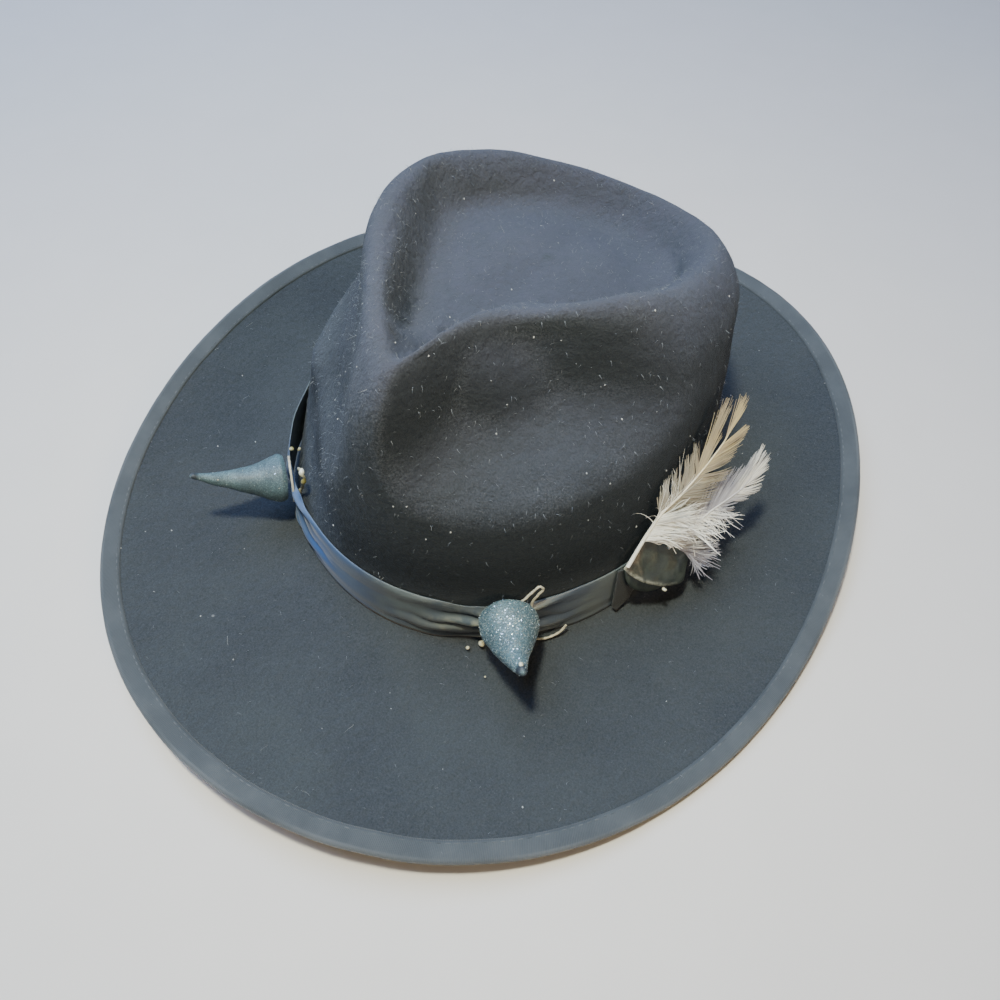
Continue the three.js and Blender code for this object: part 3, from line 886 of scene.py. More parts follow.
def grosgrain_material(name, colour, colour_worn, ribs_per_metre):
    material, tree, shader = surface(name, specular_ior_level=0.3, sheen_weight=0.25, sheen_roughness=0.4)
    place = ribbon_place(tree)
    sockets = {"Vector": place, "Ribs per metre": ribs_per_metre, "Cross threads per metre": 3600.0}
    ribs = effect(tree, "Ribbon ribs", sockets)
    solid = object_place(tree)
    grime = ranged(tree, noise(tree, solid, 60.0, 4.0, 0.6), 0.4, 0.7)
    base = blended(tree, times(tree, ribs["Mask"], 0.3), colour, colour_worn)
    base = blended(tree, times(tree, grime, 0.5), base, colour_worn)
    base = blended(tree, times(tree, attribute(tree, "wear"), 0.7), base, colour_worn)
    base = dusted(tree, solid, 500.0, 0.03, 0.5, base, (0.4, 0.42, 0.42))
    paint(tree, shader, base, ranged(tree, grime, 0.0, 1.0, 0.62, 0.82))
    bump(tree, shader, ribs["Height"], 0.12 * MM)
    return material


def satin_material(look):
    """Satin: cloudy grey and blue, with painted highlight and rubbing on the folds, painted shade in the
    hollows between them and a painted blue sheen.
    """
    material, tree, shader = surface(
        "band_satin", specular_ior_level=0.6, anisotropic=0.55, sheen_weight=0.2, sheen_roughness=0.3
    )
    sockets = {
        "Vector": ribbon_place(tree),
        "Ribs per metre": 1500.0,
        "Cross threads per metre": 3300.0,
        "Unevenness": 1.5,
    }
    threads = effect(tree, "Ribbon ribs", sockets)
    solid = object_place(tree)
    cloudy = ranged(tree, noise(tree, solid, 70.0, 3.0), 0.4, 0.65)
    base = blended(tree, cloudy, look.satin_colour, look.satin_blue)
    # Painted highlight and rubbing on the ridges of the folds.
    rubbed = ranged(tree, noise(tree, solid, 240.0, 3.0), 0.35, 0.6)
    rubbed_and_highlit = times(tree, attribute(tree, "ridge"), rubbed)
    base = blended(tree, times(tree, rubbed_and_highlit, 0.75), base, look.satin_fold_highlight)
    # Painted blue sheen right of the front's middle.
    base = blended(tree, attribute(tree, "blue"), base, look.satin_painted_sheen)
    # Painted shade in the hollows between the folds.
    base = blended(tree, times(tree, attribute(tree, "hollow"), 0.96), base, (0.002, 0.002, 0.003))
    base = dusted(tree, solid, 600.0, 0.04, 0.5, base, (0.35, 0.36, 0.34))
    paint(tree, shader, base, plus(tree, 0.36, times(tree, rubbed_and_highlit, 0.25)))
    bump(tree, shader, threads["Height"], 0.03 * MM)
    return material


def leather_material(look):
    material, tree, shader = surface(
        "tab_leather", specular_ior_level=0.55, coat_weight=0.25, coat_roughness=0.25
    )
    place = object_place(tree)
    sockets = {"Vector": place, "Scale": 1100.0}
    pores = add(tree, "ShaderNodeTexVoronoi", sockets, feature="DISTANCE_TO_EDGE")
    creases = ranged(tree, pores.outputs["Distance"], 0.0, 0.22)
    broad = noise(tree, place, 150.0, 3.0)
    patchy = ranged(tree, noise(tree, place, 230.0, 4.0, 0.65), 0.42, 0.62)
    base = blended(tree, times(tree, patchy, 0.6), look.leather_colour, look.leather_scuffed)
    flaking = ranged(tree, noise(tree, place, 700.0, 3.0), 0.3, 0.55)
    rubbed = times(tree, attribute(tree, "wear"), flaking)
    base = blended(tree, rubbed, base, look.leather_rubbed)
    paint(tree, shader, base, ranged(tree, patchy, 0.0, 1.0, 0.34, 0.5))
    height = plus(tree, times(tree, creases, 0.25), times(tree, broad, 3.0))
    bump(tree, shader, height, 0.12 * MM)
    return material


def glitter_material(look):
    """Painted coat under the glitter, with cells that catch the light one by one."""
    material, tree, shader = surface(
        "horn_glitter", specular_ior_level=0.6, coat_weight=0.25, coat_roughness=0.45
    )
    place = object_place(tree)
    cells = add(tree, "ShaderNodeTexVoronoi", {"Vector": place, "Scale": 3600.0})
    bright = maths(tree, "POWER", cells.outputs["Color"], 2.2)
    patchy = ranged(tree, noise(tree, place, 130.0, 3.0), 0.4, 0.65)
    base = blended(tree, bright, look.horn_colour, look.horn_bright)
    base = blended(tree, times(tree, patchy, 0.35), base, look.horn_dark_and_shade)
    # Painted shade under the horn, on its side away from the light and over the right horn, and a darker
    # tip.
    base = blended(tree, times(tree, attribute(tree, "wear"), 0.95), base, look.horn_dark_and_shade)
    paint(tree, shader, base, ranged(tree, bright, 0.0, 1.0, 0.62, 0.35))
    height = plus(tree, cells.outputs["Distance"], times(tree, patchy, 2.0))
    bump(tree, shader, height, 0.1 * MM)
    return material


def flake_material(look):
    material, tree, shader = surface("glitter_flakes", metallic=0.75, coat_weight=0.3)
    base = blended(tree, attribute(tree, "tone"), look.horn_colour, look.horn_flake)
    paint(tree, shader, base, ranged(tree, attribute(tree, "tone"), 0.0, 1.0, 0.5, 0.25))
    return material


def tie_material(look):
    material, tree, shader = surface("tie_cord", specular_ior_level=0.6, sheen_weight=0.2)
    place = object_place(tree)
    stained = ranged(tree, noise(tree, place, 210.0, 3.0), 0.45, 0.7)
    base = blended(tree, times(tree, stained, 0.7), look.tie_colour, look.tie_stain)
    paint(tree, shader, base, ranged(tree, stained, 0.0, 1.0, 0.38, 0.6))
    bump(tree, shader, noise(tree, place, 2400.0), 0.05 * MM)
    return material


def vane_material(name, root, middle, tip, shade):
    """Feather barbs: colour runs from the white root to the tip, with a darker shade between barbs."""
    material, tree, shader = surface(name, roughness=0.7, specular_ior_level=0.3, sheen_weight=0.4)
    place = attribute(tree, "place")
    solid = object_place(tree)
    wandering = times(tree, maths(tree, "SUBTRACT", noise(tree, solid, 120.0, 2.0), 0.5), 0.35)
    along = plus(tree, place, wandering)
    base = blended(tree, ranged(tree, along, 0.2, 0.4), root, middle)
    base = blended(tree, ranged(tree, along, 0.55, 0.85), base, tip)
    shaded = times(tree, attribute(tree, "tone"), ranged(tree, place, 0.1, 0.45, 0.15, 0.6))
    base = blended(tree, shaded, base, shade)
    paint(tree, shader, base)
    return material


def quill_material(name, root, tip):
    material, tree, shader = surface(name, roughness=0.4, specular_ior_level=0.5)
    streaks = noise(tree, object_place(tree), 500.0, 2.0)
    base = blended(tree, attribute(tree, "place"), root, tip)
    base = blended(tree, ranged(tree, streaks, 0.45, 0.75, 0.0, 0.4), base, tip)
    paint(tree, shader, base)
    bump(tree, shader, streaks, 0.05 * MM)
    return material


def glue_material(look):
    material, tree, shader = surface("dried_glue", roughness=0.3, coat_weight=0.4)
    cloudy = ranged(tree, noise(tree, object_place(tree), 260.0, 2.0), 0.35, 0.65)
    paint(tree, shader, blended(tree, cloudy, look.glue_colour, look.glue_clear))
    return material


def floor_material(look):
    material, tree, shader = surface("pale_floor", specular_ior_level=0.2)
    mottle = noise(tree, object_place(tree), 30.0, 4.0)
    darker = tuple(channel * 0.94 for channel in look.floor_colour)
    paint(tree, shader, blended(tree, mottle, look.floor_colour, darker))
    shader.inputs["Roughness"].default_value = 0.9
    return material


# Geometry node trees

def random_vector(tree, seed, reach):
    sockets = {0: (-reach, -reach, -reach), 1: (reach, reach, reach), "Seed": seed}
    return add(tree, "FunctionNodeRandomValue", sockets, data_type="FLOAT_VECTOR").outputs[0]


def random_number(tree, seed, low, high):
    sockets = {2: low, 3: high, "Seed": seed}
    return add(tree, "FunctionNodeRandomValue", sockets, data_type="FLOAT").outputs[1]


def named(tree, name, kind="FLOAT"):
    made = add(tree, "GeometryNodeInputNamedAttribute", {"Name": name}, data_type=kind)
    return made.outputs["Attribute"]


def geometry_tree(name, *inputs):
    """Tree from a mesh to a mesh, with inputs of its own, a seed and a material."""
    labels = (("Geometry", GEOMETRY, None), *inputs, ("Seed", WHOLE, 0), ("Material", FINISH, None))
    return new_group(name, "GeometryNodeTree", labels, (("Geometry", GEOMETRY),))


def planted(tree, points, shape, rotation, size, seed):
    """Copies of a shape on points, each with a random tone from 0 to 1."""
    sockets = {"Points": points, "Instance": shape, "Rotation": rotation, "Scale": size}
    copies = add(tree, "GeometryNodeInstanceOnPoints", sockets).outputs[0]
    sockets = {"Geometry": copies, "Name": "tone", "Value": random_number(tree, seed, 0.0, 1.0)}
    settings = {"data_type": "FLOAT", "domain": "INSTANCE"}
    return add(tree, "GeometryNodeStoreNamedAttribute", sockets, **settings).outputs[0]


def vector_of(tree, x, y, z):
    return add(tree, "ShaderNodeCombineXYZ", {"X": x, "Y": y, "Z": z}).outputs[0]


def turned(tree, along, facing):
    """Rotation whose X axis runs along one vector and whose Z axis faces another."""
    sockets = {"Primary Axis": along, "Secondary Axis": facing}
    settings = {"primary_axis": "X", "secondary_axis": "Z"}
    return add(tree, "FunctionNodeAxesToRotation", sockets, **settings).outputs[0]


def spread_size(tree, given):
    """Random size for each copy, as far above 1 as below it."""
    low = maths(tree, "SUBTRACT", 1.0, given["Size Spread"])
    return random_number(tree, given["Seed"], low, plus(tree, 1.0, given["Size Spread"]))


def finished(tree, copies, material, result):
    """Makes the copies real, gives them their material and ends the tree."""
    realized = add(tree, "GeometryNodeRealizeInstances", {0: copies}).outputs[0]
    painted = add(tree, "GeometryNodeSetMaterial", {"Geometry": realized, "Material": material}).outputs[0]
    tree.links.new(painted, result["Geometry"])
    return tree


SCATTER_INPUTS = (("Mask", TEXT, "nap"), ("Density", FLOAT, 1000.0))


def scattered(tree, given, result, shape, size, lean):
    """Ends a tree with copies of a shape over the faces, more of them where the named mask is high."""
    density = times(tree, given["Density"], named(tree, given["Mask"]))
    sockets = {"Mesh": given["Geometry"], "Density": density, "Seed": given["Seed"]}
    points = add(tree, "GeometryNodeDistributePointsOnFaces", sockets, distribute_method="RANDOM").outputs
    rotation = tilted(tree, points["Normal"], lean, given["Seed"])
    copies = planted(tree, points["Points"], shape, rotation, size, given["Seed"])
    return finished(tree, copies, given["Material"], result)


def tilted(tree, normal, lean, seed):
    """Rotation that stands a copy on the surface, leaning at random, and turned about itself."""
    aim = vector_sum(tree, normal, scaled(tree, random_vector(tree, seed, 1.0), lean))
    upright = add(tree, "FunctionNodeAlignRotationToVector", {"Vector": aim}, axis="Z").outputs[0]
    spin = add(tree, "ShaderNodeCombineXYZ", {"Z": random_number(tree, seed, 0.0, 2 * math.pi)}).outputs[0]
    sockets = {"Rotation": upright, "Rotate By": spin}
    return add(tree, "FunctionNodeRotateRotation", sockets, rotation_space="LOCAL").outputs[0]


def strands_tree():
    """Short bent fibres that stand on a surface."""
    tree, given, result = geometry_tree(
        "Loose fibres",
        *SCATTER_INPUTS,
        ("Length", FLOAT, 0.001),
        ("Width", FLOAT, 0.0001),
        ("Bend", FLOAT, 0.5),
        ("Lean", FLOAT, 0.8),
        ("Size Spread", FLOAT, 0.5),
        ("Segments", WHOLE, 2),
    )
    sockets = {
        "Vertices": 3,
        "Side Segments": given["Segments"],
        "Fill Segments": 1,
        "Radius Top": times(tree, given["Width"], 0.1),
        "Radius Bottom": times(tree, given["Width"], 0.5),
        "Depth": given["Length"],
    }
    shape = add(tree, "GeometryNodeMeshCone", sockets).outputs["Mesh"]
    place = add(tree, "GeometryNodeInputPosition").outputs[0]
    up = add(tree, "ShaderNodeSeparateXYZ", {0: place}).outputs["Z"]
    share = maths(tree, "DIVIDE", up, given["Length"])
    drift = times(tree, maths(tree, "POWER", share, 1.8), given["Length"])
    sideways = times(tree, drift, given["Bend"])
    downwards = times(tree, drift, times(tree, given["Bend"], -0.35))
    sockets = {"Geometry": shape, "Offset": vector_of(tree, sideways, 0.0, downwards)}
    bent = add(tree, "GeometryNodeSetPosition", sockets).outputs[0]
    return scattered(tree, given, result, bent, spread_size(tree, given), given["Lean"])


def flakes_tree():
    """Flat six-sided flakes that lie on a surface at slightly different tilts."""
    tree, given, result = geometry_tree(
        "Glitter flakes",
        *SCATTER_INPUTS,
        ("Size", FLOAT, 0.0004),
        ("Thickness", FLOAT, 0.00006),
        ("Lean", FLOAT, 0.3),
        ("Size Spread", FLOAT, 0.4),
    )
    sockets = {"Vertices": 6, "Radius": times(tree, given["Size"], 0.5), "Depth": given["Thickness"]}
    flake = add(tree, "GeometryNodeMeshCylinder", sockets).outputs["Mesh"]
    return scattered(tree, given, result, flake, spread_size(tree, given), given["Lean"])


def specks_tree():
    """Small flattened lumps on a surface."""
    tree, given, result = geometry_tree(
        "Specks",
        *SCATTER_INPUTS,
        ("Size", FLOAT, 0.0005),
        ("Flatness", FLOAT, 0.6),
        ("Size Spread", FLOAT, 0.6),
        ("Lean", FLOAT, 0.2),
    )
    radius = times(tree, given["Size"], 0.5)
    ball = add(tree, "GeometryNodeMeshIcoSphere", {"Radius": radius, "Subdivisions": 2}).outputs["Mesh"]
    roughened = scaled(tree, random_vector(tree, given["Seed"], 0.3), radius)
    lump = add(tree, "GeometryNodeSetPosition", {"Geometry": ball, "Offset": roughened}).outputs[0]
    low = maths(tree, "SUBTRACT", 1.0, given["Size Spread"])
    size = random_number(tree, given["Seed"], low, 1.5)
    flat = vector_of(tree, size, times(tree, size, 0.7), times(tree, size, given["Flatness"]))
    return scattered(tree, given, result, lump, flat, given["Lean"])


def stitches_tree():
    """Stitches at even steps along a line; the line's points carry the direction that they face."""
    tree, given, result = geometry_tree(
        "Stitches",
        ("Spacing", FLOAT, 0.003),
        ("Length", FLOAT, 0.002),
        ("Thickness", FLOAT, 0.0004),
    )
    line = add(tree, "GeometryNodeMeshToCurve", {"Mesh": given["Geometry"]}).outputs[0]
    sockets = {"Curve": line, "Length": given["Spacing"]}
    spaced = add(tree, "GeometryNodeResampleCurve", sockets, mode="LENGTH").outputs[0]
    ball = add(tree, "GeometryNodeMeshIcoSphere", {"Radius": 0.5, "Subdivisions": 2}).outputs["Mesh"]
    along = add(tree, "GeometryNodeInputTangent").outputs[0]
    rotation = turned(tree, along, named(tree, "face", "FLOAT_VECTOR"))
    size = vector_of(tree, given["Length"], given["Thickness"], given["Thickness"])
    copies = planted(tree, spaced, ball, rotation, size, given["Seed"])
    return finished(tree, copies, given["Material"], result)


def barbs_tree():
    """Feather barbs: each point carries its barb's direction, facing, length, width, sweep and wave."""
    tree, given, result = geometry_tree(
        "Feather barbs",
        ("Thickness", FLOAT, 0.0001),
        ("Segments", WHOLE, 5),
    )
    sockets = {
        "Vertices": 4,
        "Side Segments": given["Segments"],
        "Fill Segments": 1,
        "Radius Top": 0.12,
        "Radius Bottom": 0.5,
        "Depth": 1.0,
    }
    cone = add(tree, "GeometryNodeMeshCone", sockets).outputs["Mesh"]
    lying = {"Geometry": cone, "Rotation": (0, math.pi / 2, 0)}
    laid = add(tree, "GeometryNodeTransform", lying).outputs[0]
    place = add(tree, "GeometryNodeInputPosition").outputs[0]
    outward = add(tree, "ShaderNodeSeparateXYZ", {0: place}).outputs["X"]
    sockets = {"Geometry": laid, "Name": "out", "Value": outward}
    settings = {"data_type": "FLOAT", "domain": "POINT"}
    marked = add(tree, "GeometryNodeStoreNamedAttribute", sockets, **settings).outputs[0]
    rotation = turned(tree, named(tree, "along", "FLOAT_VECTOR"), named(tree, "face", "FLOAT_VECTOR"))
    size = vector_of(tree, named(tree, "reach"), named(tree, "width"), given["Thickness"])
    copies = planted(tree, given["Geometry"], marked, rotation, size, given["Seed"])
    realized = add(tree, "GeometryNodeRealizeInstances", {0: copies}).outputs[0]
    out = named(tree, "out")
    sweep = scaled(tree, named(tree, "sweep", "FLOAT_VECTOR"), maths(tree, "POWER", out, 2.0))
    swing = times(tree, maths(tree, "SINE", times(tree, out, 7.0)), out)
    wave = scaled(tree, named(tree, "wave", "FLOAT_VECTOR"), swing)
    sockets = {"Geometry": realized, "Offset": vector_sum(tree, sweep, wave)}
    swept = add(tree, "GeometryNodeSetPosition", sockets).outputs[0]
    return finished(tree, swept, given["Material"], result)


TREE_MAKERS = {
    "Loose fibres": strands_tree,
    "Glitter flakes": flakes_tree,
    "Specks": specks_tree,
    "Stitches": stitches_tree,
    "Feather barbs": barbs_tree,
}


def grown(name, mesh, tree_name, values):
    """Runs a geometry node tree on a mesh and keeps the result as a plain piece."""
    tree = bpy.data.node_groups.get(tree_name) or TREE_MAKERS[tree_name]()
    seedbed = in_scene(name + "_seedbed", mesh)
    modifier = seedbed.modifiers.new("Grow", "NODES")
    modifier.node_group = tree
    inputs = [item for item in tree.interface.items_tree if item.in_out == "INPUT"]
    identifiers = {item.name: item.identifier for item in inputs}
    for label, value in values.items():
        modifier[identifiers[label]] = value
    graph = bpy.context.evaluated_depsgraph_get()
    plain = bpy.data.meshes.new_from_object(seedbed.evaluated_get(graph), depsgraph=graph)
    bpy.data.objects.remove(seedbed)
    if not plain.polygons:
        raise RuntimeError(f"{name}: the tree {tree_name} made nothing")
    plain.name = name
    return shown(name, plain)


def point_mesh(name, points, vectors=None, numbers=None, edges=()):
    """Bare points, or a line, with named vectors and numbers for a tree to read."""
    mesh = bpy.data.meshes.new(name)
    mesh.from_pydata(np.asarray(points).tolist(), list(edges), [])
    for label, values in (vectors or {}).items():
        data = np.asarray(values, np.float32)
        mesh.attributes.new(label, "FLOAT_VECTOR", "POINT").data.foreach_set("vector", data.ravel())
    for label, values in (numbers or {}).items():
        data = np.asarray(values, np.float32)
        mesh.attributes.new(label, "FLOAT", "POINT").data.foreach_set("value", data)
    return mesh


# Settings

def colour(name, description, default):
    return FloatVectorProperty(
        name=name, description=description, default=default, subtype="COLOR", size=3, min=0.0, max=1.0
    )


def length(name, description, default):
    return FloatProperty(
        name=name, description=description, default=default, min=0.0, unit="LENGTH", precision=5
    )


def amount(name, description, default):
    return FloatProperty(name=name, description=description, default=default, min=0.0)


def whole(name, description, default, least):
    return IntProperty(name=name, description=description, default=default, min=least)


class FeltLook(bpy.types.PropertyGroup):
    columns: whole("Columns", "Points round the felt", 252, 60)
    steps: whole("Steps", "Rows between two sections of the felt", 6, 2)
    thickness: length("Felt thickness", "Thickness of the felt wall", 1.8 * MM)
    unevenness: length("Unevenness", "Height of the felt's hand-shaped waves", 0.45 * MM)
    colour: colour("Felt", "Colour of the felt", (0.0255, 0.032, 0.037))
    colour_faded: colour("Faded felt", "Colour of the faded patches", (0.041, 0.050, 0.052))
    # Colour of the painted shade on the crown's walls.
    colour_wall_shade: colour("Painted wall shade", "Painted shade on the crown's wall", (0.0115, 0.0150, 0.0165))
    colour_fibre: colour("Fibres", "Colour of the raised fibres", (0.108, 0.122, 0.142))
    # Colour of the dust and painted light on the top.
    colour_dust_and_light: colour("Dust and painted light", "Colour of the top, where dust and painted light lie", (0.079, 0.084, 0.115))
    colour_lint: colour("Lint", "Colour of lint and dust", (0.50, 0.52, 0.52))
    sheen: amount("Sheen", "Sheen of the brushed fibres, up to 1", 0.10)
    sheen_colour: colour("Sheen colour", "Tint of the sheen", (0.62, 0.74, 1.0))
    grain_scale: amount("Grain scale", "Grains per metre", 1450.0)
    grain_depth: amount("Grain depth", "Depth of the grain in millimetres", 1.0)
    nap_count: amount("Nap", "Raised fibres per square metre where the felt is brushed up", 230000.0)
    hair_count: amount("Lint hairs", "Lint hairs per square metre", 900.0)
    lint_count: amount("Lint specks", "Lint specks per square metre", 2600.0)


class RibbonLook(bpy.types.PropertyGroup):
    band_columns: whole("Band columns", "Points round the band", 1080, 90)
    band_rows: whole("Band rows", "Points across the band", 32, 6)
    band_thickness: length("Band thickness", "Thickness of the satin", 0.35 * MM)
    fold_depth: length("Fold depth", "Depth of the gathered folds", 3.1 * MM)
    crease_depth: length("Crease depth", "Depth of the long creases", 0.55 * MM)
    binding_thickness: length("Binding thickness", "Thickness of the edge ribbon", 0.45 * MM)
    stitch_spacing: length("Stitch spacing", "Distance between stitches", 3.0 * MM)
    satin_colour: colour("Satin", "Colour of the satin", (0.125, 0.155, 0.165))
    satin_blue: colour("Satin sheen", "Bluer colour of the satin", (0.085, 0.110, 0.150))
    # Colour of the painted blue sheen.
    satin_painted_sheen: colour("Painted satin sheen", "Painted blue sheen right of the front's middle", (0.060, 0.165, 0.440))
    # Colour of the painted highlight and rubbing on the folds.
    satin_fold_highlight: colour("Satin fold highlight", "Painted highlight and rubbing on the folds", (0.440, 0.440, 0.330))
    keeper_colour: colour("Keeper", "Colour of the keeper ribbon", (0.030, 0.034, 0.036))
    binding_colour: colour("Binding", "Colour of the edge ribbon", (0.052, 0.062, 0.070))
    binding_worn: colour("Worn binding", "Colour of the worn edge ribbon", (0.120, 0.135, 0.145))


class OrnamentLook(bpy.types.PropertyGroup):
    horn_rows: whole("Horn rows", "Points along a horn", 64, 12)
    horn_sides: whole("Horn sides", "Points round a horn", 48, 12)
    flake_size: length("Flake size", "Width of a glitter flake", 0.4 * MM)
    flake_count: amount("Flakes", "Glitter flakes per square metre", 2600000.0)
    horn_colour: colour("Horn", "Colour of the horn's coat", (0.052, 0.102, 0.122))
    horn_bright: colour("Horn bright", "Brightest cells of the coat", (0.245, 0.395, 0.440))
    # Colour of the coat's dark patches, its darker tip and its painted shade.
    horn_dark_and_shade: colour("Horn dark", "Dark and worn patches and painted shade of the coat", (0.016, 0.024, 0.034))
    horn_flake: colour("Flake", "Brightest flakes", (0.700, 0.800, 0.780))
    tie_diameter: length("Tie diameter", "Thickness of the tie cord", 1.0 * MM)
    tie_colour: colour("Tie", "Colour of the tie cord", (0.58, 0.55, 0.42))
    tie_stain: colour("Tie stain", "Stains on the tie cord", (0.22, 0.22, 0.12))
    leather_colour: colour("Leather", "Colour of the tab", (0.018, 0.026, 0.022))
    leather_scuffed: colour("Scuffed leather", "Scuffed patches of the tab", (0.050, 0.068, 0.056))
    leather_rubbed: colour("Rubbed leather", "Rubbed edges of the tab", (0.42, 0.44, 0.37))
    glue_colour: colour("Glue", "Cloudy dried glue", (0.78, 0.78, 0.64))
    glue_clear: colour("Yellowed glue", "Yellowed dried glue", (0.30, 0.27, 0.08))


class FeatherLook(bpy.types.PropertyGroup):
    long_barbs: whole("Long feather barbs", "Barbs on the fuller side", 190, 20)
    short_barbs: whole("Short feather barbs", "Barbs on each side", 180, 20)
    down_wisps: whole("Down wisps", "Downy wisps at the short feather's root", 90, 0)
    barb_width: length("Barb width", "Width of a barb", 0.55 * MM)
    white: colour("White", "Colour of the roots and down", (0.96, 0.97, 0.91))
    beige: colour("Beige", "Middle of the long feather", (0.36, 0.34, 0.26))
    tan: colour("Tan", "Tip of the long feather", (0.62, 0.52, 0.27))
    brown: colour("Brown", "Shade between the long feather's barbs", (0.20, 0.15, 0.13))
    lilac: colour("Lilac grey", "Middle of the short feather", (0.42, 0.43, 0.50))
    slate: colour("Slate", "Shade between the short feather's barbs", (0.16, 0.16, 0.22))


class StageLook(bpy.types.PropertyGroup):
    floor_colour: colour("Floor", "Colour of the floor", (0.76, 0.73, 0.68))
    floor_size: length("Floor size", "Width of the floor", 8.0)
    key_power: amount("Key power", "Power of the ceiling light in watts", 3.8)
    fill_power: amount("Fill power", "Power of the window light in watts", 31.0)
    lamp_power: amount("Lamp power", "Power of the warm lamp in watts", 8.0)
    room_light: amount("Room light", "Strength of the light from all round", 0.08)


class HatLook(bpy.types.PropertyGroup):
    felt: PointerProperty(type=FeltLook)
    ribbon: PointerProperty(type=RibbonLook)
    ornament: PointerProperty(type=OrnamentLook)
    feather: PointerProperty(type=FeatherLook)
    stage: PointerProperty(type=StageLook)


# Felt body

def shaped_felt(look):
    """Upper and lower face of the felt with its hand-shaped waves, and the upper face's normals."""
    angles = column_angles(look.columns)
    upper, normals = felt_surface(angles, look.steps, FINGER_DENTS + HORN_DENTS)
    turn = (np.degrees(angles) + 180) % 360 - 180
    softened = 0.5 * smoothstep(*SOFT_CREST_RIGHT, turn) + 0.5 * smoothstep(*SOFT_CREST_LEFT, turn)
    soft_rows = slice(*(round(section * look.steps) for section in SOFT_CREST_SECTIONS))
    for _ in range(SOFT_CREST_PASSES):
        between = (np.roll(upper, 1, axis=0) + np.roll(upper, -1, axis=0)) / 2 - upper
        upper[soft_rows] += between[soft_rows] * softened[None, :, None]
    row = np.arange(len(upper)) / look.steps
    off_the_band = 1 - smoothstep(6.2, 7, row) * (1 - smoothstep(12, 13, row))
    ripple = soft_noise(upper, 34 * MM, 11) * 0.6 + soft_noise(upper, 15 * MM, 12) * 0.4
    ripple *= look.unevenness * off_the_band[:, None]
    upper = upper + normals * ripple[..., None]
    upper[0] = upper[0].mean(axis=0)
    normals = surface_normals(upper)
    lower = upper - normals * look.thickness
    lower[..., 2] = np.maximum(lower[..., 2], 0.0)
    return upper, lower, normals


def wear_of(upper, normals, steps):
    """How worn and brushed up the felt is: most on the crest, the nose and the rims of the dents."""
    row = np.arange(len(upper))[:, None] / steps
    bend_down = np.linalg.norm(np.diff(normals, axis=0, append=normals[-1:]), axis=2)
    bend_round = np.linalg.norm(np.roll(normals, -1, axis=1) - normals, axis=2)
    apart_down = np.linalg.norm(np.diff(upper, axis=0, append=upper[-1:]), axis=2) + 0.4 * MM
    apart_round = np.linalg.norm(np.roll(upper, -1, axis=1) - upper, axis=2) + 0.4 * MM
    curved = bend_down / apart_down + bend_round / apart_round
    curved[0] = 0
    patchy = 0.75 + 0.5 * soft_noise(upper, 22 * MM, 31)
    worn = smoothstep(18, 75, curved) * patchy
    on_crown = 1 - smoothstep(8, 9, row)
    return np.clip(worn * on_crown, 0, 1)


def felt_masks(look, upper, normals):
    """Where the felt's upper face is worn, brushed up and linty, has dust and painted light, or painted
    shade.
    """
    row = np.arange(len(upper))[:, None] / look.steps
    height = (upper[..., 2] - CROWN_CENTRE[2]) / MM
    upright = normals[..., 2]
    facing_right = -normals[..., 0]
    wear = wear_of(upper, normals, look.steps)
    on_crown = 1 - smoothstep(7, 8.5, row)
    in_dish = 1 - smoothstep(4, 5.5, row)
    patchy = 0.7 + 0.3 * soft_noise(upper, 26 * MM, 32)
    nap = np.clip((0.10 + 0.32 * on_crown + 0.58 * wear) * patchy, 0.02, 1)
    lint = np.clip(0.55 + 0.45 * soft_noise(upper, 40 * MM, 33), 0.05, 1) * (0.6 + 0.4 * on_crown)
    # Dust and painted light on the upward faces of the top, and a little painted light on the crown's faces
    # turned to the wearer's right.
    dusty = smoothstep(58, 84, height) * smoothstep(0.1, 0.7, upright) * (0.5 + 0.5 * in_dish)
    dusty = np.maximum(dusty, 0.05 * smoothstep(0.1, 0.9, facing_right) * (1 - smoothstep(6.5, 8, row)))
    # Painted shade on the crown's steep faces, reaching further up the slopes high on the crown, stronger
    # low down and weaker on the faces turned to the wearer's right.
    clean = 1 - smoothstep(0.25, 0.66, upright - 0.3 * smoothstep(56, 70, height))
    clean = clean * (1 - smoothstep(7.4, 8.2, row)) * smoothstep(4, 5, row)
    clean = clean * (0.72 + 0.23 * (1 - smoothstep(40, 62, height)))
    clean = clean * (1 - 0.3 * smoothstep(0.1, 0.8, facing_right))
    # Fewer pale nap fibres stand in the painted wall shade.
    return {"wear": wear, "dusty": dusty, "clean": clean, "nap": nap * (1 - 0.75 * clean), "lint": lint}


def grow_fibres(body, name, mask, seed, material, **sizes):
    """Fibres that stand on the felt where a mask is high, as a piece of their own."""
    values = {label.capitalize(): size for label, size in sizes.items()}
    values |= {"Mask": mask, "Seed": seed, "Material": material}
    stands_for(grown(name, body.data, "Loose fibres", values), "felt")


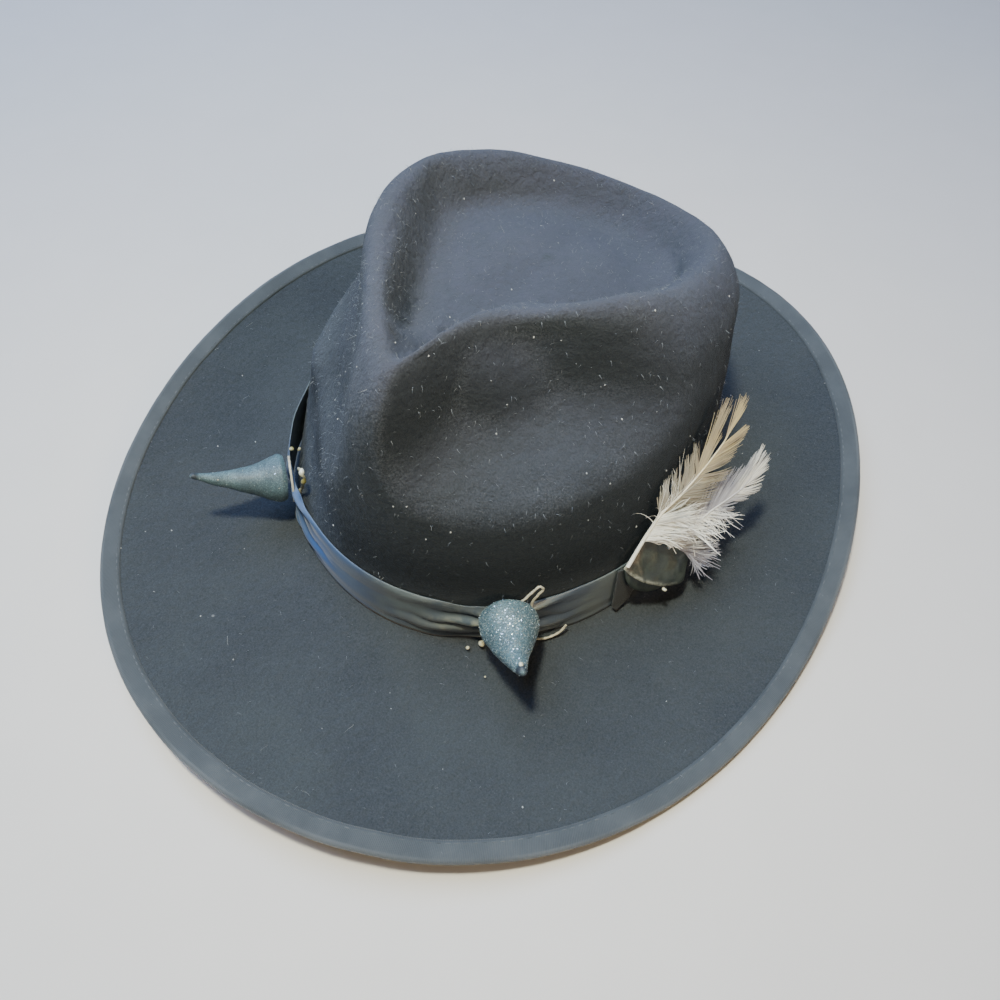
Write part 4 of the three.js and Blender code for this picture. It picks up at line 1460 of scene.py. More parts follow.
def build_felt(look):
    """Crown and brim as one closed felt wall, with its raised fibres, lint hairs and lint specks."""
    upper, lower, normals = shaped_felt(look)
    grid = np.concatenate((upper[1:], lower[1:][::-1]))
    bare = np.zeros(upper[1:].shape[:2])
    above = felt_masks(look, upper, normals)
    masks = {label: np.concatenate((mask[1:], bare)) for label, mask in above.items()}
    ends = (upper[0, 0], lower[0, 0])
    body = grid_piece("felt_crown_and_brim", grid, felt_material(look), ends=ends, masks=masks)
    stands_for(body, "felt", "felt_body")
    grow_fibres(
        body,
        "felt_nap",
        mask="nap",
        seed=5,
        material=fibre_material("felt_nap", look.colour_fibre, (0.25, 0.28, 0.32)),
        density=look.nap_count,
        length=1.2 * MM,
        width=0.12 * MM,
        bend=0.9,
        lean=1.2,
        segments=2,
    )
    grow_fibres(
        body,
        "lint_hairs",
        mask="lint",
        seed=9,
        material=fibre_material("lint_hairs", (0.30, 0.31, 0.31), look.colour_lint),
        density=look.hair_count,
        length=2.7 * MM,
        width=0.10 * MM,
        bend=1.5,
        lean=0.9,
        segments=5,
    )
    values = {
        "Mask": "lint",
        "Density": look.lint_count,
        "Size": 0.55 * MM,
        "Seed": 17,
        "Material": fibre_material("lint_specks", (0.22, 0.24, 0.25), look.colour_lint),
    }
    stands_for(grown("lint_specks", body.data, "Specks", values), "felt")


# Brim binding

def build_binding(felt, ribbon):
    """Grosgrain ribbon folded over the brim's edge, with a row of stitches above and below."""
    upper, lower, normals = shaped_felt(felt)
    rows = felt.steps + 1
    gap = BINDING_GAP
    tuck = 0.35
    top = upper[-rows:]
    under = lower[-rows:]
    up = normals[-rows:]
    share = np.linspace(0, 1, rows)[:, None, None]
    cover = gap + ribbon.binding_thickness * (tuck + (1 - tuck) * smoothstep(0, 0.25, share))
    middle = (top[-1] + under[-1]) / 2
    half = felt.thickness / 2
    outward = unit(top[-1] - top[-2])
    bends = np.linspace(0, math.pi, BINDING_BENDS + 2)[1:-1]

    def fold(reach):
        aims = [up[-1] * math.cos(bend) + outward * math.sin(bend) for bend in bends]
        return np.stack([middle + aim * (half + reach) for aim in aims])

    full = gap + ribbon.binding_thickness
    outer = np.concatenate((top + up * cover, fold(full), (under - up * cover)[::-1]))
    inner = np.concatenate((top + up * gap, fold(gap), (under - up * gap)[::-1]))
    grid = np.concatenate((outer, inner[::-1]))
    across = lengths_along(grid[:, 0])
    across = np.append(across, across[-1])
    along = lengths_along(upper[-1], closed=True)
    uv = place_grid(along, across, "xy")
    worn = np.zeros(grid.shape[:2])
    worn[rows:rows + BINDING_BENDS] = 1
    worn *= np.clip(0.5 + 0.8 * soft_noise(grid, 30 * MM, 41), 0, 1)
    material = grosgrain_material("edge_grosgrain", ribbon.binding_colour, ribbon.binding_worn, 1700.0)
    piece = grid_piece("edge_ribbon", grid, material, joined_rows=True, uv=uv, masks={"wear": worn})
    stands_for(piece, "binding_ribbon", "brim_binding")
    thread = fibre_material("binding_thread", ribbon.binding_colour, ribbon.binding_worn)
    for side, row in (("upper", 1), ("under", len(outer) - 2)):
        line = outer[row] * 0.75 + outer[row + (1 if side == "upper" else -1)] * 0.25
        facing = up[1] if side == "upper" else -up[1]
        count = len(line)
        edges = [(index, (index + 1) % count) for index in range(count)]
        mesh = point_mesh("stitch_line_" + side, line, vectors={"face": facing}, edges=edges)
        values = {
            "Spacing": ribbon.stitch_spacing,
            "Length": ribbon.stitch_spacing * 0.62,
            "Thickness": 0.4 * MM,
            "Material": thread,
        }
        made = grown("binding_stitches_" + side, mesh, "Stitches", values)
        stands_for(made, "binding_ribbon")


# Band

def fold_profile(degrees, across):
    """Folds of the gathered band from 0 to 1, and how strongly it is gathered, all over the band."""
    strongest = np.zeros_like(degrees)
    folds = np.zeros(np.broadcast(degrees, across).shape)
    for angle, reach_before, reach_after, count in GATHERS:
        away = degrees - angle
        reach = np.where(away < 0, reach_before, reach_after)
        strength = np.exp(-((away / reach) ** 2))
        wander = 0.16 * np.sin(away / 3.1 + angle) * (across - 0.5) + 0.10 * np.sin(away / 1.7 + 5 * across)
        wave = np.abs(np.sin(math.pi * (count * across + 0.2 + wander))) ** 0.7
        uneven = 0.65 + 0.35 * np.sin(count * 2.3 * across + away / 6)
        folds = np.maximum(folds, wave * uneven * strength)
        strongest = np.maximum(strongest, strength)
    return folds, strongest


def band_masks(degrees, across, folds, gathered, crease):
    """Where the satin has rubbing and painted highlight on its ridges, painted shade in its hollows and a
    painted blue sheen.
    """
    front = near_front(degrees)
    # Painted highlight and rubbing on the ridges.
    ridge = np.clip(folds * 1.3 + crease * 0.3 - 0.3, 0, 1) * (1 - 0.6 * smoothstep(0, -20, degrees))
    ridge = ridge * np.clip(gathered + 0.35 * front, 0, 1)
    # Painted shade in the hollows.
    hollow = np.clip(1 - folds / np.maximum(gathered, 0.05) * 1.6, 0, 1) * np.clip(gathered * 1.5, 0, 1)
    # Painted blue sheen right of the front's middle, fainter across the front.
    blue = np.exp(-(((degrees + 19) / 8) ** 2)) * (0.35 + 0.65 * np.sin(math.pi * across))
    faint_painted_sheen = 0.45 * smoothstep(4, -12, degrees) * smoothstep(-60, -30, degrees)
    blue = np.maximum(blue, faint_painted_sheen * np.ones_like(across))
    masks = {"ridge": ridge, "hollow": hollow, "blue": blue}
    return {label: np.concatenate((mask, np.zeros_like(mask)), axis=1).T for label, mask in masks.items()}


def near_front(degrees):
    return smoothstep(-60, -36, degrees) * (1 - smoothstep(24, 40, degrees))


def build_band(ribbon):
    """Satin ribbon round the crown's foot, gathered into folds under each horn."""
    count = ribbon.band_columns
    angles = (np.arange(count) / count * 2 - 1) * math.pi
    degrees = np.degrees(angles)[:, None]
    across = np.linspace(0, 1, ribbon.band_rows)[None, :]
    top, bottom, lift = (band_station(angles, column)[:, None] for column in ("top", "bottom", "lift"))
    folds, gathered = fold_profile(degrees, across)
    slack = 0.25 + 0.75 * near_front(degrees)
    slow = 0.25 * np.sin(np.radians(degrees) * 2.2 + 0.4)
    crease = np.abs(np.sin(math.pi * (1.55 * across + 0.32 + slow))) ** 0.8
    drawn_in = 1
    for angle, *_ in GATHERS:
        drawn_in = drawn_in - GATHER_PINCH * np.exp(-(((degrees - angle) / GATHER_PINCH_WIDTH) ** 2))
    standing = folds * ribbon.fold_depth * drawn_in
    standing = standing + crease * ribbon.crease_depth * slack * (1 - 0.8 * gathered)
    edge_pull = smoothstep(0, 0.08, across) * (1 - smoothstep(0.92, 1, across))
    standing = standing * (0.35 + 0.65 * edge_pull)
    wavy = 0.35 * np.sin(np.radians(degrees) * 9 + 1) + 0.5 * gathered * np.sin(degrees / 2.1)
    heights = top + (bottom - top) * across + wavy * (1 - 2 * across) * 0.6
    inner_off = SEAT_GAP * 0.6 + lift + standing / MM
    outer = crown_wall(angles, heights, inner_off + ribbon.band_thickness / MM)
    inner = crown_wall(angles, heights, inner_off)
    grid = np.concatenate((outer, inner[:, ::-1]), axis=1).transpose(1, 0, 2)
    along = lengths_along(outer[:, ribbon.band_rows // 2], closed=True)
    width = np.linalg.norm(outer[0, -1] - outer[0, 0])
    up_and_back = np.concatenate((across[0], across[0][::-1], across[0][:1])) * width
    uv = place_grid(along, up_and_back, "xy")
    masks = band_masks(degrees, across, folds, gathered, crease * slack)
    piece = grid_piece("satin_band", grid, satin_material(ribbon), joined_rows=True, uv=uv, masks=masks)
    stands_for(piece, "band_satin", "hat_band")


# Horns

def horn_line(horn, along):
    """Centre line of a horn and its tilt, for shares of its length."""
    angle = math.radians(horn["angle"])
    where = np.array([angle])
    standoff = band_cover(angle) + horn["gap"]
    foot = crown_wall(where, np.array([[horn["height"]]]), standoff)[0, 0]
    start = math.radians(HORN_TILT_AT_FOOT)
    bend = math.radians(horn["tilt_at_tip"]) - start
    arc_radius = horn["length"] * MM / bend
    out = arc_radius * (np.sin(start + bend * along) - math.sin(start))
    rise = arc_radius * (math.cos(start) - np.cos(start + bend * along))
    outward = radial(where)[0]
    across = tangential(where)[0]
    line = foot + out[:, None] * outward + rise[:, None] * UP
    line = line + (horn["drift"] * MM * along**2)[:, None] * across
    return line, start + bend * along, outward, across


def build_horn(horn, look, coat, flakes):
    """Slightly lumpy curved cone whose coat has painted shade and a darker tip, and the flakes on it."""
    rows = look.horn_rows
    along = np.linspace(0, 1, rows) ** HORN_CROWDING * HORN_LAST_RING
    centre, tilt, outward, across = horn_line(horn, along)
    stations = columns_of(HORN_COLUMNS, HORN_STATIONS[horn["name"]])
    radius = curve_through(stations["along"], stations["radius"], np.minimum(along, stations["along"][-1]))
    radius = radius * MM
    radius[-1] *= HORN_TIP_DRAWN_IN
    upright = np.cos(tilt)[:, None] * UP - np.sin(tilt)[:, None] * outward
    turn = column_angles(look.horn_sides)
    grid = centre[:, None, :] + across * (radius[:, None] * np.cos(turn))[..., None]
    grid = grid + upright[:, None, :] * (radius[:, None] * np.sin(turn))[..., None]
    away = unit(grid - centre[:, None, :])
    lumps = soft_noise(grid, 9 * MM, 51) * 0.16 * MM + soft_noise(grid, 3 * MM, 52) * 0.06 * MM
    grid = grid + away * lumps[..., None]
    tip = horn_line(horn, np.array([1.0]))[0][0]
    # The wear mask holds painted shade under the horn, on its side turned from the light and over the right
    # horn's whole coat, and a darker tip.
    under = np.clip(-np.sin(turn), 0, 1)[None, :]
    worn = smoothstep(0.89, 0.95, along)[:, None] * np.ones(look.horn_sides)
    worn = np.maximum(worn, under * smoothstep(0.2, 0.9, along)[:, None])
    worn = np.maximum(worn, horn["shade"] + 0.3 * np.clip(np.cos(turn), 0, 1)[None, :])
    # Fewer flakes where the painted shade lies.
    covered = np.clip(1.1 - worn, 0.1, 1) * smoothstep(0.0, 0.03, along)[:, None]
    masks = {"wear": worn, "flakes": covered * horn["glitter"]}
    piece = grid_piece("glitter_horn_" + horn["name"], grid, coat, ends=(centre[0], tip), masks=masks)
    stands_for(piece, "horn_glitter", "horn_" + horn["name"])
    values = {
        "Mask": "flakes",
        "Density": look.flake_count,
        "Size": look.flake_size,
        "Lean": 0.35,
        "Seed": 23,
        "Material": flakes,
    }
    flecks = grown("glitter_flakes_" + horn["name"], piece.data, "Glitter flakes", values)
    stands_for(flecks, "horn_glitter")


def build_horns(look):
    coat = glitter_material(look)
    flakes = flake_material(look)
    for horn in HORNS:
        build_horn(horn, look, coat, flakes)


# Ties

def wall_line(horn, stations):
    """Points on the crown's wall, by degrees from a horn, height and distance off the felt."""
    rows = columns_of(TIE_COLUMNS, stations)
    angles = np.radians(horn["angle"] + rows["turn"])
    return crown_wall(angles, rows["height"][:, None], rows["standoff"][:, None])[:, 0]


def ball_points(sides, rings):
    """Points of a ball of radius 1: its two poles, then its rings."""
    rise = np.linspace(0, math.pi, rings + 2)[1:-1]
    turn = column_angles(sides)
    across = np.stack((np.cos(turn), np.sin(turn), np.zeros(sides)), axis=-1)
    body = np.sin(rise)[:, None, None] * across
    body[..., 2] = np.cos(rise)[:, None]
    return np.concatenate((((0, 0, 1.0), (0, 0, -1.0)), body.reshape(-1, 3)))


def ball_faces(sides, rings):
    faces = []
    for side in range(sides):
        after = (side + 1) % sides
        last = 2 + (rings - 1) * sides
        faces.append([0, 2 + side, 2 + after])
        faces.append([1, last + after, last + side])
        for ring in range(rings - 1):
            here = 2 + ring * sides
            faces.append([here + side, here + sides + side, here + sides + after, here + after])
    return faces


def build_glue_run(glue):
    """Run of glue behind the right horn, thin at both ends."""
    run = wall_line(HORNS[1], GLUE_RUN)
    run = curve_through(np.arange(len(run)), run, np.linspace(0, len(run) - 1, GLUE_RUN_POINTS))
    run = run + np.stack([soft_noise(run, 5 * MM, 95 + axis) for axis in range(3)], axis=-1) * 0.5 * MM
    thick = (0.8 + 0.5 * soft_noise(run, 4 * MM, 98)) * MM
    thick = thick * np.sin(np.linspace(0.15, math.pi - 0.15, GLUE_RUN_POINTS)) ** 0.5
    stands_for(tube_piece("glue_run", run, thick, glue, sides=14), "tie_cord")


def build_glue_blobs(glue):
    """Uneven blobs of glue, one of them near the left horn's tip."""
    lumps = [(np.array(place) * MM + CROWN_CENTRE, size * MM / 2) for *place, size in GLUE_BLOBS]
    line, tilt, outward, _ = horn_line(HORNS[0], np.array([0.93]))
    upright = math.cos(tilt[0]) * UP - math.sin(tilt[0]) * outward
    lumps.append((line[0] + upright * 1.7 * MM, 0.85 * MM))
    points = []
    faces = []
    for number, (centre, radius) in enumerate(lumps):
        ball = ball_points(BLOB_SIDES, BLOB_RINGS) * radius
        dents = soft_noise(ball + centre, 2.5 * MM, 91 + number) * radius * 0.4
        ball = ball + unit(ball) * dents[:, None]
        faces += [[corner + len(points) for corner in face] for face in ball_faces(BLOB_SIDES, BLOB_RINGS)]
        points += (ball + centre).tolist()
    mesh = bpy.data.meshes.new("glue_blobs")
    mesh.from_pydata(points, [], faces)
    mesh.polygons.foreach_set("use_smooth", [True] * len(faces))
    stands_for(shown("glue_blobs", mesh, glue), "tie_cord")


def build_ties(look):
    """Plied cord behind each horn, and the dried glue."""
    material = tie_material(look)
    for horn in HORNS:
        piece = tube_piece(
            "tie_cord_" + horn["name"],
            line_through(wall_line(horn, TIES[horn["name"]]), TIE_POINTS),
            look.tie_diameter / 2 * CORD_CORE,
            material,
            sides=16,
            lobes=CORD_PLIES,
            lobe_depth=CORD_PLY_DEPTH,
            twist=2 * math.pi / CORD_TWIST,
        )
        stands_for(piece, "tie_cord", "horn_tie_" + horn["name"])
    glue = glue_material(look)
    build_glue_run(glue)
    build_glue_blobs(glue)


# Tab and keeper

def build_tab(look):
    """Folded leather-like tab round the quills: flat in front, pinched above and open below."""
    facing = unit(FEATHER_FACING)
    turn = column_angles(TAB_SIDES)
    cosine = np.cos(turn)
    sine = np.sin(turn)
    rows = np.linspace(0, 1, TAB_ROWS)
    top = np.array(TAB_TOP_EDGE) * MM + CROWN_CENTRE
    lower = np.array(TAB_LOWER_EDGE) * MM + CROWN_CENTRE
    downward = unit(lower.mean(axis=0) - top.mean(axis=0))
    wide = np.sign(cosine) * np.abs(cosine) ** TAB_SQUARENESS
    deep = np.sign(sine) * np.abs(sine) ** TAB_SQUARENESS
    in_front = smoothstep(-0.4, 0.4, sine)
    from_fold = 0.3 + 0.7 * smoothstep(-1, 0.7, cosine)

    def ring(share, inset):
        left, right = top + (lower - top) * share
        half = (right - left) / 2
        reach = np.linalg.norm(half) - inset * MM
        depth = (TAB_DEPTHS[0] + (TAB_DEPTHS[1] - TAB_DEPTHS[0]) * share) / 2 * from_fold
        bowed = TAB_BOW * share * (1 - wide**2) * in_front
        sag = (TAB_SAGS[0] * in_front + TAB_SAGS[1] * (1 - in_front)) * share**2 * (1 - np.abs(wide) ** 2.6)
        points = (left + right) / 2 + unit(half) * (reach * wide)[:, None]
        points = points + facing * ((np.maximum(depth - inset, 0.1) * deep - depth + bowed) * MM)[:, None]
        return points + downward * (sag * MM)[:, None]

    outer = np.stack([ring(share, 0.0) for share in rows])
    inner = np.stack([ring(share, TAB_WALL) for share in rows])
    dented = soft_noise(outer, 11 * MM, 61) * 0.4 * MM + soft_noise(outer, 4 * MM, 62) * 0.1 * MM
    outer = outer + facing * dented[..., None]
    inner = inner + facing * dented[..., None]
    grid = np.concatenate((outer, inner[::-1]))
    worn = np.zeros(grid.shape[:2])
    left_fold = np.exp(-(((turn - math.radians(172)) / 0.13) ** 2))
    lower_edge = smoothstep(0.9, 1, rows)[:, None] * (in_front * smoothstep(0.9, -0.6, cosine))[None, :]
    worn[:TAB_ROWS] = np.maximum(left_fold[None, :], lower_edge)
    piece = grid_piece("folded_tab", grid, leather_material(look), joined_rows=True, masks={"wear": worn})
    stands_for(piece, "tab_leather", "feather_tab")


def build_keeper(ribbon):
    """Short ribbon across the band with a pointed lower end."""
    angle = math.radians(KEEPER_ANGLE)
    where = np.array([angle])
    across = tangential(where)[0]
    order = KEEPER["height"][::-1]
    heights = np.linspace(order[-1], order[0], KEEPER_ROWS)

    def station(column):
        return np.interp(heights, order, KEEPER[column][::-1])

    sides = np.linspace(-1, 1, 15)
    sideways = (station("slide")[:, None] + sides * station("half_width")[:, None]) * MM
    bow = radial(where)[0] * (KEEPER_BOW * (1 - sides**2))[None, :, None]
    inner_off = band_cover(angle) + SEAT_GAP + station("stand")
    faces = []
    for extra in (KEEPER_THICKNESS, 0.0):
        middle = crown_wall(where, heights[None, :], (inner_off + extra)[None, :])[0]
        faces.append(middle[:, None, :] + across * sideways[..., None] + bow)
    grid = np.concatenate((faces[0], faces[1][:, ::-1]), axis=1)
    lengths = np.linspace(0, KEEPER_LENGTH, KEEPER_ROWS)
    widths = np.concatenate((sides, sides[::-1], sides[:1])) * KEEPER["half_width"][0] * MM
    uv = place_grid(lengths, widths, "ij")
    worn = np.zeros(grid.shape[:2])
    worn[:, [0, len(sides) - 1]] = 0.6
    material = grosgrain_material("keeper_grosgrain", ribbon.keeper_colour, ribbon.binding_colour, 2100.0)
    ends = (grid[0].mean(axis=0), grid[-1].mean(axis=0))
    piece = grid_piece("ribbon_keeper", grid, material, ends=ends, uv=uv, masks={"wear": worn})
    stands_for(piece, "keeper_ribbon", "band_keeper")


# Feathers

def quill_line(stations, count):
    """A feather's middle line, the direction along it, the way it faces and the direction across it."""
    path = line_through(np.array(stations, float) * MM + CROWN_CENTRE, count)
    along = unit(np.gradient(path, axis=0))
    facing = unit(FEATHER_FACING - along * (along @ FEATHER_FACING)[:, None])
    return path, along, facing, np.cross(along, facing)


def profile(shares, values):
    """Reads a value between a few stations along a feather."""
    return lambda share: float(np.interp(share, shares, values))


class Barbs:
    """Gathers the barbs of one feather before they are grown."""

    def __init__(self, seed):
        self.random = np.random.RandomState(seed)
        self.rows = []

    def add(self, *row):
        """One barb: root, direction, facing, reach, width, sweep, wave and place along the feather."""
        self.rows.append(row)

    def grow(self, name, material):
        roots, directions, facings, reaches, widths, sweeps, waves, places = zip(*self.rows)
        vectors = {"along": directions, "face": facings, "sweep": sweeps, "wave": waves}
        numbers = {"reach": reaches, "width": widths, "place": places}
        mesh = point_mesh(name + "_roots", roots, vectors, numbers)
        values = {"Thickness": VANE_THICKNESS, "Segments": 6, "Seed": 3, "Material": material}
        return grown(name, mesh, "Feather barbs", values)


def vane(barbs, line, side, count, span, reach_at, angle_at, width, group_size, looseness):
    """One side of a feather: barbs in groups that part a little from each other."""
    path, along, facing, across = line
    random = barbs.random
    group_turn = 0.0
    group_reach = 1.0
    left_in_group = 0
    for index in range(count):
        if left_in_group <= 0:
            left_in_group = random.randint(*group_size)
            group_turn = random.normal(0, looseness)
            group_reach = random.uniform(1 - looseness / 60, 1 + looseness / 110)
            if looseness > 6 and random.rand() < 0.3:
                left_in_group -= 2
                continue
        left_in_group -= 1
        share = span[0] + (span[1] - span[0]) * index / (count - 1)
        at = min(int(share * (len(path) - 1)), len(path) - 1)
        turn = math.radians(angle_at(share) + group_turn + random.normal(0, 1.2))
        direction = along[at] * math.cos(turn) + across[at] * side * math.sin(turn)
        direction = unit(direction + facing[at] * random.normal(0.02, 0.03))
        reach = reach_at(share) * group_reach * random.uniform(0.93, 1.05) * MM
        sweep = along[at] * reach * random.uniform(0.12, 0.24)
        sweep = sweep - facing[at] * reach * random.uniform(0.02, 0.1)
        wave = facing[at] * reach * random.normal(0, 0.012)
        wide = width * random.uniform(0.85, 1.15)
        barbs.add(path[at], direction, facing[at], reach, wide, sweep, wave, share)


def down(barbs, line, count, span, lean, spread, reach, width, curl):
    """Loose downy wisps, leaning by one angle at the span's start and by the other at its end."""
    path, along, facing, across = line
    random = barbs.random
    for _ in range(count):
        share = random.uniform(*span)
        at = int(share * (len(path) - 1))
        side = np.interp(share, span, lean) + np.clip(random.normal(), -1.6, 1.6) * spread
        direction = across[at] * math.sin(side) + along[at] * math.cos(side)
        direction = unit(direction + facing[at] * random.uniform(-0.2, 0.45))
        long = random.uniform(*reach) * MM
        sweep = unit(random.normal(size=3)) * long * curl
        wave = unit(random.normal(size=3)) * long * random.uniform(0.02, 0.09)
        wide = width * random.uniform(0.6, 1.3)
        barbs.add(path[at], direction, facing[at], long, wide, sweep, wave, share * 0.5)


def tip_clumps(barbs, line, clumps, width):
    """Barbs at a feather's end, drawn together into a few parted clumps.

    A clump is its angle in degrees, its reach, its place along the colours, its barbs and their spread.
    """
    path, along, facing, across = line
    random = barbs.random
    for turn, reach, share, count, spread in clumps:
        at = int(share * (len(path) - 1))
        for _ in range(count):
            back = int(random.uniform(0, 26))
            away = math.radians(turn + random.normal(0, spread))
            direction = unit(along[at] * math.cos(away) + across[at] * math.sin(away) + facing[at] * 0.02)
            long = reach * random.uniform(0.7, 1) * MM
            sweep = along[at] * long * 0.1
            wave = facing[at] * long * random.normal(0, 0.01)
            barbs.add(path[at - back], direction, facing[at], long, width, sweep, wave, share)


def finish_feather(barbs, line, name, slot, vane_finish, quill_finish, thick, taper):
    """Grows a feather's barbs and gives it its quill, in millimetres thick at the root."""
    stands_for(barbs.grow(name + "_feather_vane", vane_finish), slot, "feather_" + name)
    share = np.linspace(0, 1, len(line[0]))
    radii = (thick - taper * share) * MM
    quill = tube_piece(
        name + "_feather_quill", line[0], radii, quill_finish, sides=10, masks={"place": share}
    )
    stands_for(quill, slot)


def build_long_feather(look):
    line = quill_line(LONG_QUILL, LONG_QUILL_POINTS)
    barbs = Barbs(71)
    right_reach = profile((0.24, 0.32, 0.5, 0.7, 0.85, 1), (9, 15, 16, 14, 12, 9))
    left_reach = profile((0.3, 0.42, 0.6, 0.85, 1), (7, 11, 12, 10, 7))
    opening = profile((0.24, 0.4, 0.65, 0.85, 1), (62, 52, 38, 26, 12))
    width = look.barb_width
    vane(
        barbs, line, 1, look.long_barbs, span=(0.27, 0.84), reach_at=right_reach, angle_at=opening,
        width=width, group_size=(20, 36), looseness=5,
    )
    vane(
        barbs, line, -1, look.long_barbs * 4 // 5, span=(0.34, 0.72), reach_at=left_reach,
        angle_at=opening, width=width, group_size=(7, 15), looseness=12,
    )
    clumps = ((-29, 26, 0.7, 56, 3), (3, 13.5, 0.95, 74, 6), (24, 15, 0.86, 34, 3.5))
    tip_clumps(barbs, line, clumps, width)
    down(
        barbs, line, 340, span=(0.17, 0.34), lean=(1.15, 0.95), spread=0.22, reach=(10, 18),
        width=width * 1.5, curl=0.12,
    )
    down(
        barbs, line, 24, span=(0.28, 0.5), lean=(-0.9, -0.8), spread=0.4, reach=(6, 12),
        width=width * 0.7, curl=0.6,
    )
    barb_finish = vane_material("long_vane", look.white, look.beige, look.tan, look.brown)
    quill_finish = quill_material("long_quill", look.white, look.tan)
    finish_feather(
        barbs, line, "long", "feather_tan", barb_finish, quill_finish, thick=0.8, taper=0.6
    )


def build_short_feather(look):
    line = quill_line(SHORT_QUILL, SHORT_QUILL_POINTS)
    barbs = Barbs(83)
    left_reach = profile((0.15, 0.4, 0.7, 0.9, 1), (9, 14, 16, 14, 9))
    right_reach = profile((0.2, 0.5, 0.8, 1), (7, 10, 11, 8))
    opening = profile((0.15, 0.5, 0.8, 1), (58, 42, 28, 10))
    width = look.barb_width
    vane(
        barbs, line, -1, look.short_barbs, span=(0.16, 0.97), reach_at=left_reach, angle_at=opening,
        width=width * 1.3, group_size=(14, 30), looseness=5,
    )
    vane(
        barbs, line, 1, look.short_barbs, span=(0.3, 0.97), reach_at=right_reach, angle_at=opening,
        width=width, group_size=(6, 13), looseness=10,
    )
    clumps = ((-16, 12, 0.9, 34, 4), (2, 12, 0.97, 40, 4), (19, 12, 0.93, 24, 3.5))
    tip_clumps(barbs, line, clumps, width)
    down(
        barbs, line, look.down_wisps, span=(0.22, 0.6), lean=(1.35, 1.1), spread=0.3, reach=(8, 14),
        width=width * 1.1, curl=0.3,
    )
    edge = quill_line(DOWN_EDGE, DOWN_EDGE_POINTS)
    down(
        barbs, edge, 360, span=(0.05, 0.95), lean=(-1.25, -0.55), spread=0.2, reach=(8, 15),
        width=width * 1.5, curl=0.15,
    )
    down(
        barbs, edge, 90, span=(0.8, 1.0), lean=(-0.3, 0.1), spread=0.3, reach=(7, 12),
        width=width * 1.1, curl=0.4,
    )
    barb_finish = vane_material("short_vane", look.white, look.lilac, look.white, look.slate)
    quill_finish = quill_material("short_quill", look.white, look.lilac)
    finish_feather(
        barbs, line, "short", "feather_grey", barb_finish, quill_finish, thick=0.75, taper=0.55
    )


# Stage

def photo_camera():
    """Camera at the photograph's angle and distance."""
    azimuth = math.radians(CAMERA_AZIMUTH)
    elevation = math.radians(CAMERA_ELEVATION)
    roll = math.radians(CAMERA_ROLL)
    level = math.cos(elevation)
    back = Vector((math.sin(azimuth) * level, -math.cos(azimuth) * level, math.sin(elevation)))
    level_right = (-back).cross(Vector((0, 0, 1))).normalized()
    level_up = level_right.cross(-back)
    right = level_right * math.cos(roll) + level_up * math.sin(roll)
    up = level_up * math.cos(roll) - level_right * math.sin(roll)
    camera = in_scene("photo_camera", bpy.data.cameras.new("photo_camera"))
    camera.data.sensor_width = CAMERA_SENSOR
    camera.data.lens = CAMERA_LENS
    camera.data.clip_start = 0.01
    placed = Matrix((right, up, back)).transposed().to_4x4()
    placed.translation = Vector(CAMERA_TARGET) + back * CAMERA_DISTANCE
    camera.matrix_world = placed
    bpy.context.scene.camera = camera


def area_light(name, place, aim, size, power, tint):
    """Round light at a place, turned towards another."""
    light = bpy.data.lights.new(name, "AREA")
    light.shape = "DISK"
    light.size = size
    light.energy = power
    light.color = tint
    holder = in_scene(name, light)
    holder.location = place
    holder.rotation_euler = (Vector(aim) - Vector(place)).to_track_quat("-Z", "Y").to_euler()


def build_stage(look):
    """Camera, pale floor, three lights and the light from all round."""
    photo_camera()
    half = look.floor_size / 2
    below = -0.3 * MM
    corners = [(x, y, below) for x, y in ((-half, -half), (half, -half), (half, half), (-half, half))]
    mesh = bpy.data.meshes.new("floor")
    mesh.from_pydata(corners, [], [(0, 1, 2, 3)])
    floor = shown("floor", mesh, floor_material(look))
    area_light("ceiling_light", (0.01, -0.15, 0.54), (0, 0, 0), 0.05, look.key_power, (1.0, 0.97, 0.74))
    area_light("lamp_light", (1.3, -0.5, 0.7), (0.1, 0, 0.02), 0.6, look.lamp_power, (1.0, 0.72, 0.42))
    area_light("window_light", (-0.55, 0.1, 1.35), (0, 0, 0.05), 1.2, look.fill_power, (0.44, 0.61, 1.0))
    world = bpy.data.worlds.new("soft_room")
    world.use_nodes = True
    background = world.node_tree.nodes["Background"]
    background.inputs["Color"].default_value = (0.72, 0.84, 1.0, 1)
    background.inputs["Strength"].default_value = look.room_light
    bpy.context.scene.world = world


# Operators

class HAT_OT_stage(bpy.types.Operator):
    """Makes the camera, the floor and the lights"""

    bl_idname = "hat.stage"
    bl_label = "Stage"

    def execute(self, context):
        build_stage(context.scene.hat_look.stage)
        return {"FINISHED"}


class HAT_OT_felt(bpy.types.Operator):
    """Makes the felt crown and brim with its nap and lint"""

    bl_idname = "hat.felt"
    bl_label = "Felt body"

    def execute(self, context):
        build_felt(context.scene.hat_look.felt)
        return {"FINISHED"}


class HAT_OT_binding(bpy.types.Operator):
    """Makes the ribbon round the brim's edge and its stitches"""

    bl_idname = "hat.binding"
    bl_label = "Brim binding"

    def execute(self, context):
        build_binding(context.scene.hat_look.felt, context.scene.hat_look.ribbon)
        return {"FINISHED"}


class HAT_OT_band(bpy.types.Operator):
    """Makes the gathered satin band"""

    bl_idname = "hat.band"
    bl_label = "Satin band"

    def execute(self, context):
        build_band(context.scene.hat_look.ribbon)
        return {"FINISHED"}


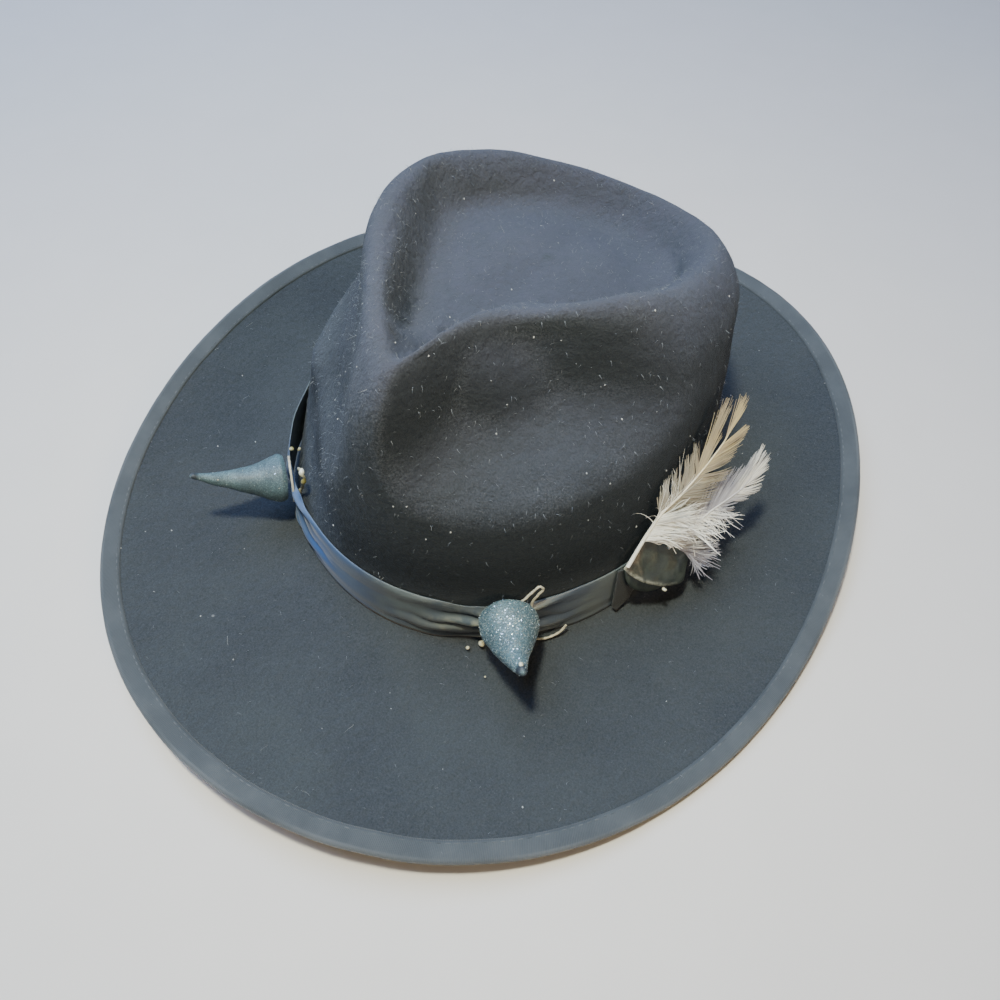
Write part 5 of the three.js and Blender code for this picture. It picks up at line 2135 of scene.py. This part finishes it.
class HAT_OT_horns(bpy.types.Operator):
    """Makes both horns with their glitter"""

    bl_idname = "hat.horns"
    bl_label = "Horns"

    def execute(self, context):
        build_horns(context.scene.hat_look.ornament)
        return {"FINISHED"}


class HAT_OT_ties(bpy.types.Operator):
    """Makes the cord round the foot of each horn"""

    bl_idname = "hat.ties"
    bl_label = "Horn ties"

    def execute(self, context):
        build_ties(context.scene.hat_look.ornament)
        return {"FINISHED"}


class HAT_OT_tab(bpy.types.Operator):
    """Makes the folded tab and the ribbon keeper beside it"""

    bl_idname = "hat.tab"
    bl_label = "Tab and keeper"

    def execute(self, context):
        build_tab(context.scene.hat_look.ornament)
        build_keeper(context.scene.hat_look.ribbon)
        return {"FINISHED"}


class HAT_OT_feathers(bpy.types.Operator):
    """Makes both feathers"""

    bl_idname = "hat.feathers"
    bl_label = "Feathers"

    def execute(self, context):
        build_long_feather(context.scene.hat_look.feather)
        build_short_feather(context.scene.hat_look.feather)
        return {"FINISHED"}


OPERATORS = (
    HAT_OT_stage,
    HAT_OT_felt,
    HAT_OT_binding,
    HAT_OT_band,
    HAT_OT_horns,
    HAT_OT_ties,
    HAT_OT_tab,
    HAT_OT_feathers,
)


class HAT_PT_looks(bpy.types.Panel):
    """Buttons for each piece of the hat"""

    bl_idname = "HAT_PT_looks"
    bl_label = "Felt hat"
    bl_space_type = "VIEW_3D"
    bl_region_type = "UI"
    bl_category = "Hat"

    def draw(self, context):
        for operator in OPERATORS:
            self.layout.operator(operator.bl_idname)


CLASSES = (FeltLook, RibbonLook, OrnamentLook, FeatherLook, StageLook, HatLook, *OPERATORS, HAT_PT_looks)


def register():
    for entry in CLASSES:
        bpy.utils.register_class(entry)
    bpy.types.Scene.hat_look = PointerProperty(type=HatLook)


def unregister():
    del bpy.types.Scene.hat_look
    for entry in reversed(CLASSES):
        bpy.utils.unregister_class(entry)


def main():
    register()
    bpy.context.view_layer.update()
    bpy.ops.hat.stage()
    bpy.ops.hat.felt()
    bpy.ops.hat.binding()
    bpy.ops.hat.band()
    bpy.ops.hat.horns()
    bpy.ops.hat.ties()
    bpy.ops.hat.tab()
    bpy.ops.hat.feathers()


if __name__ == "__main__":
    main()
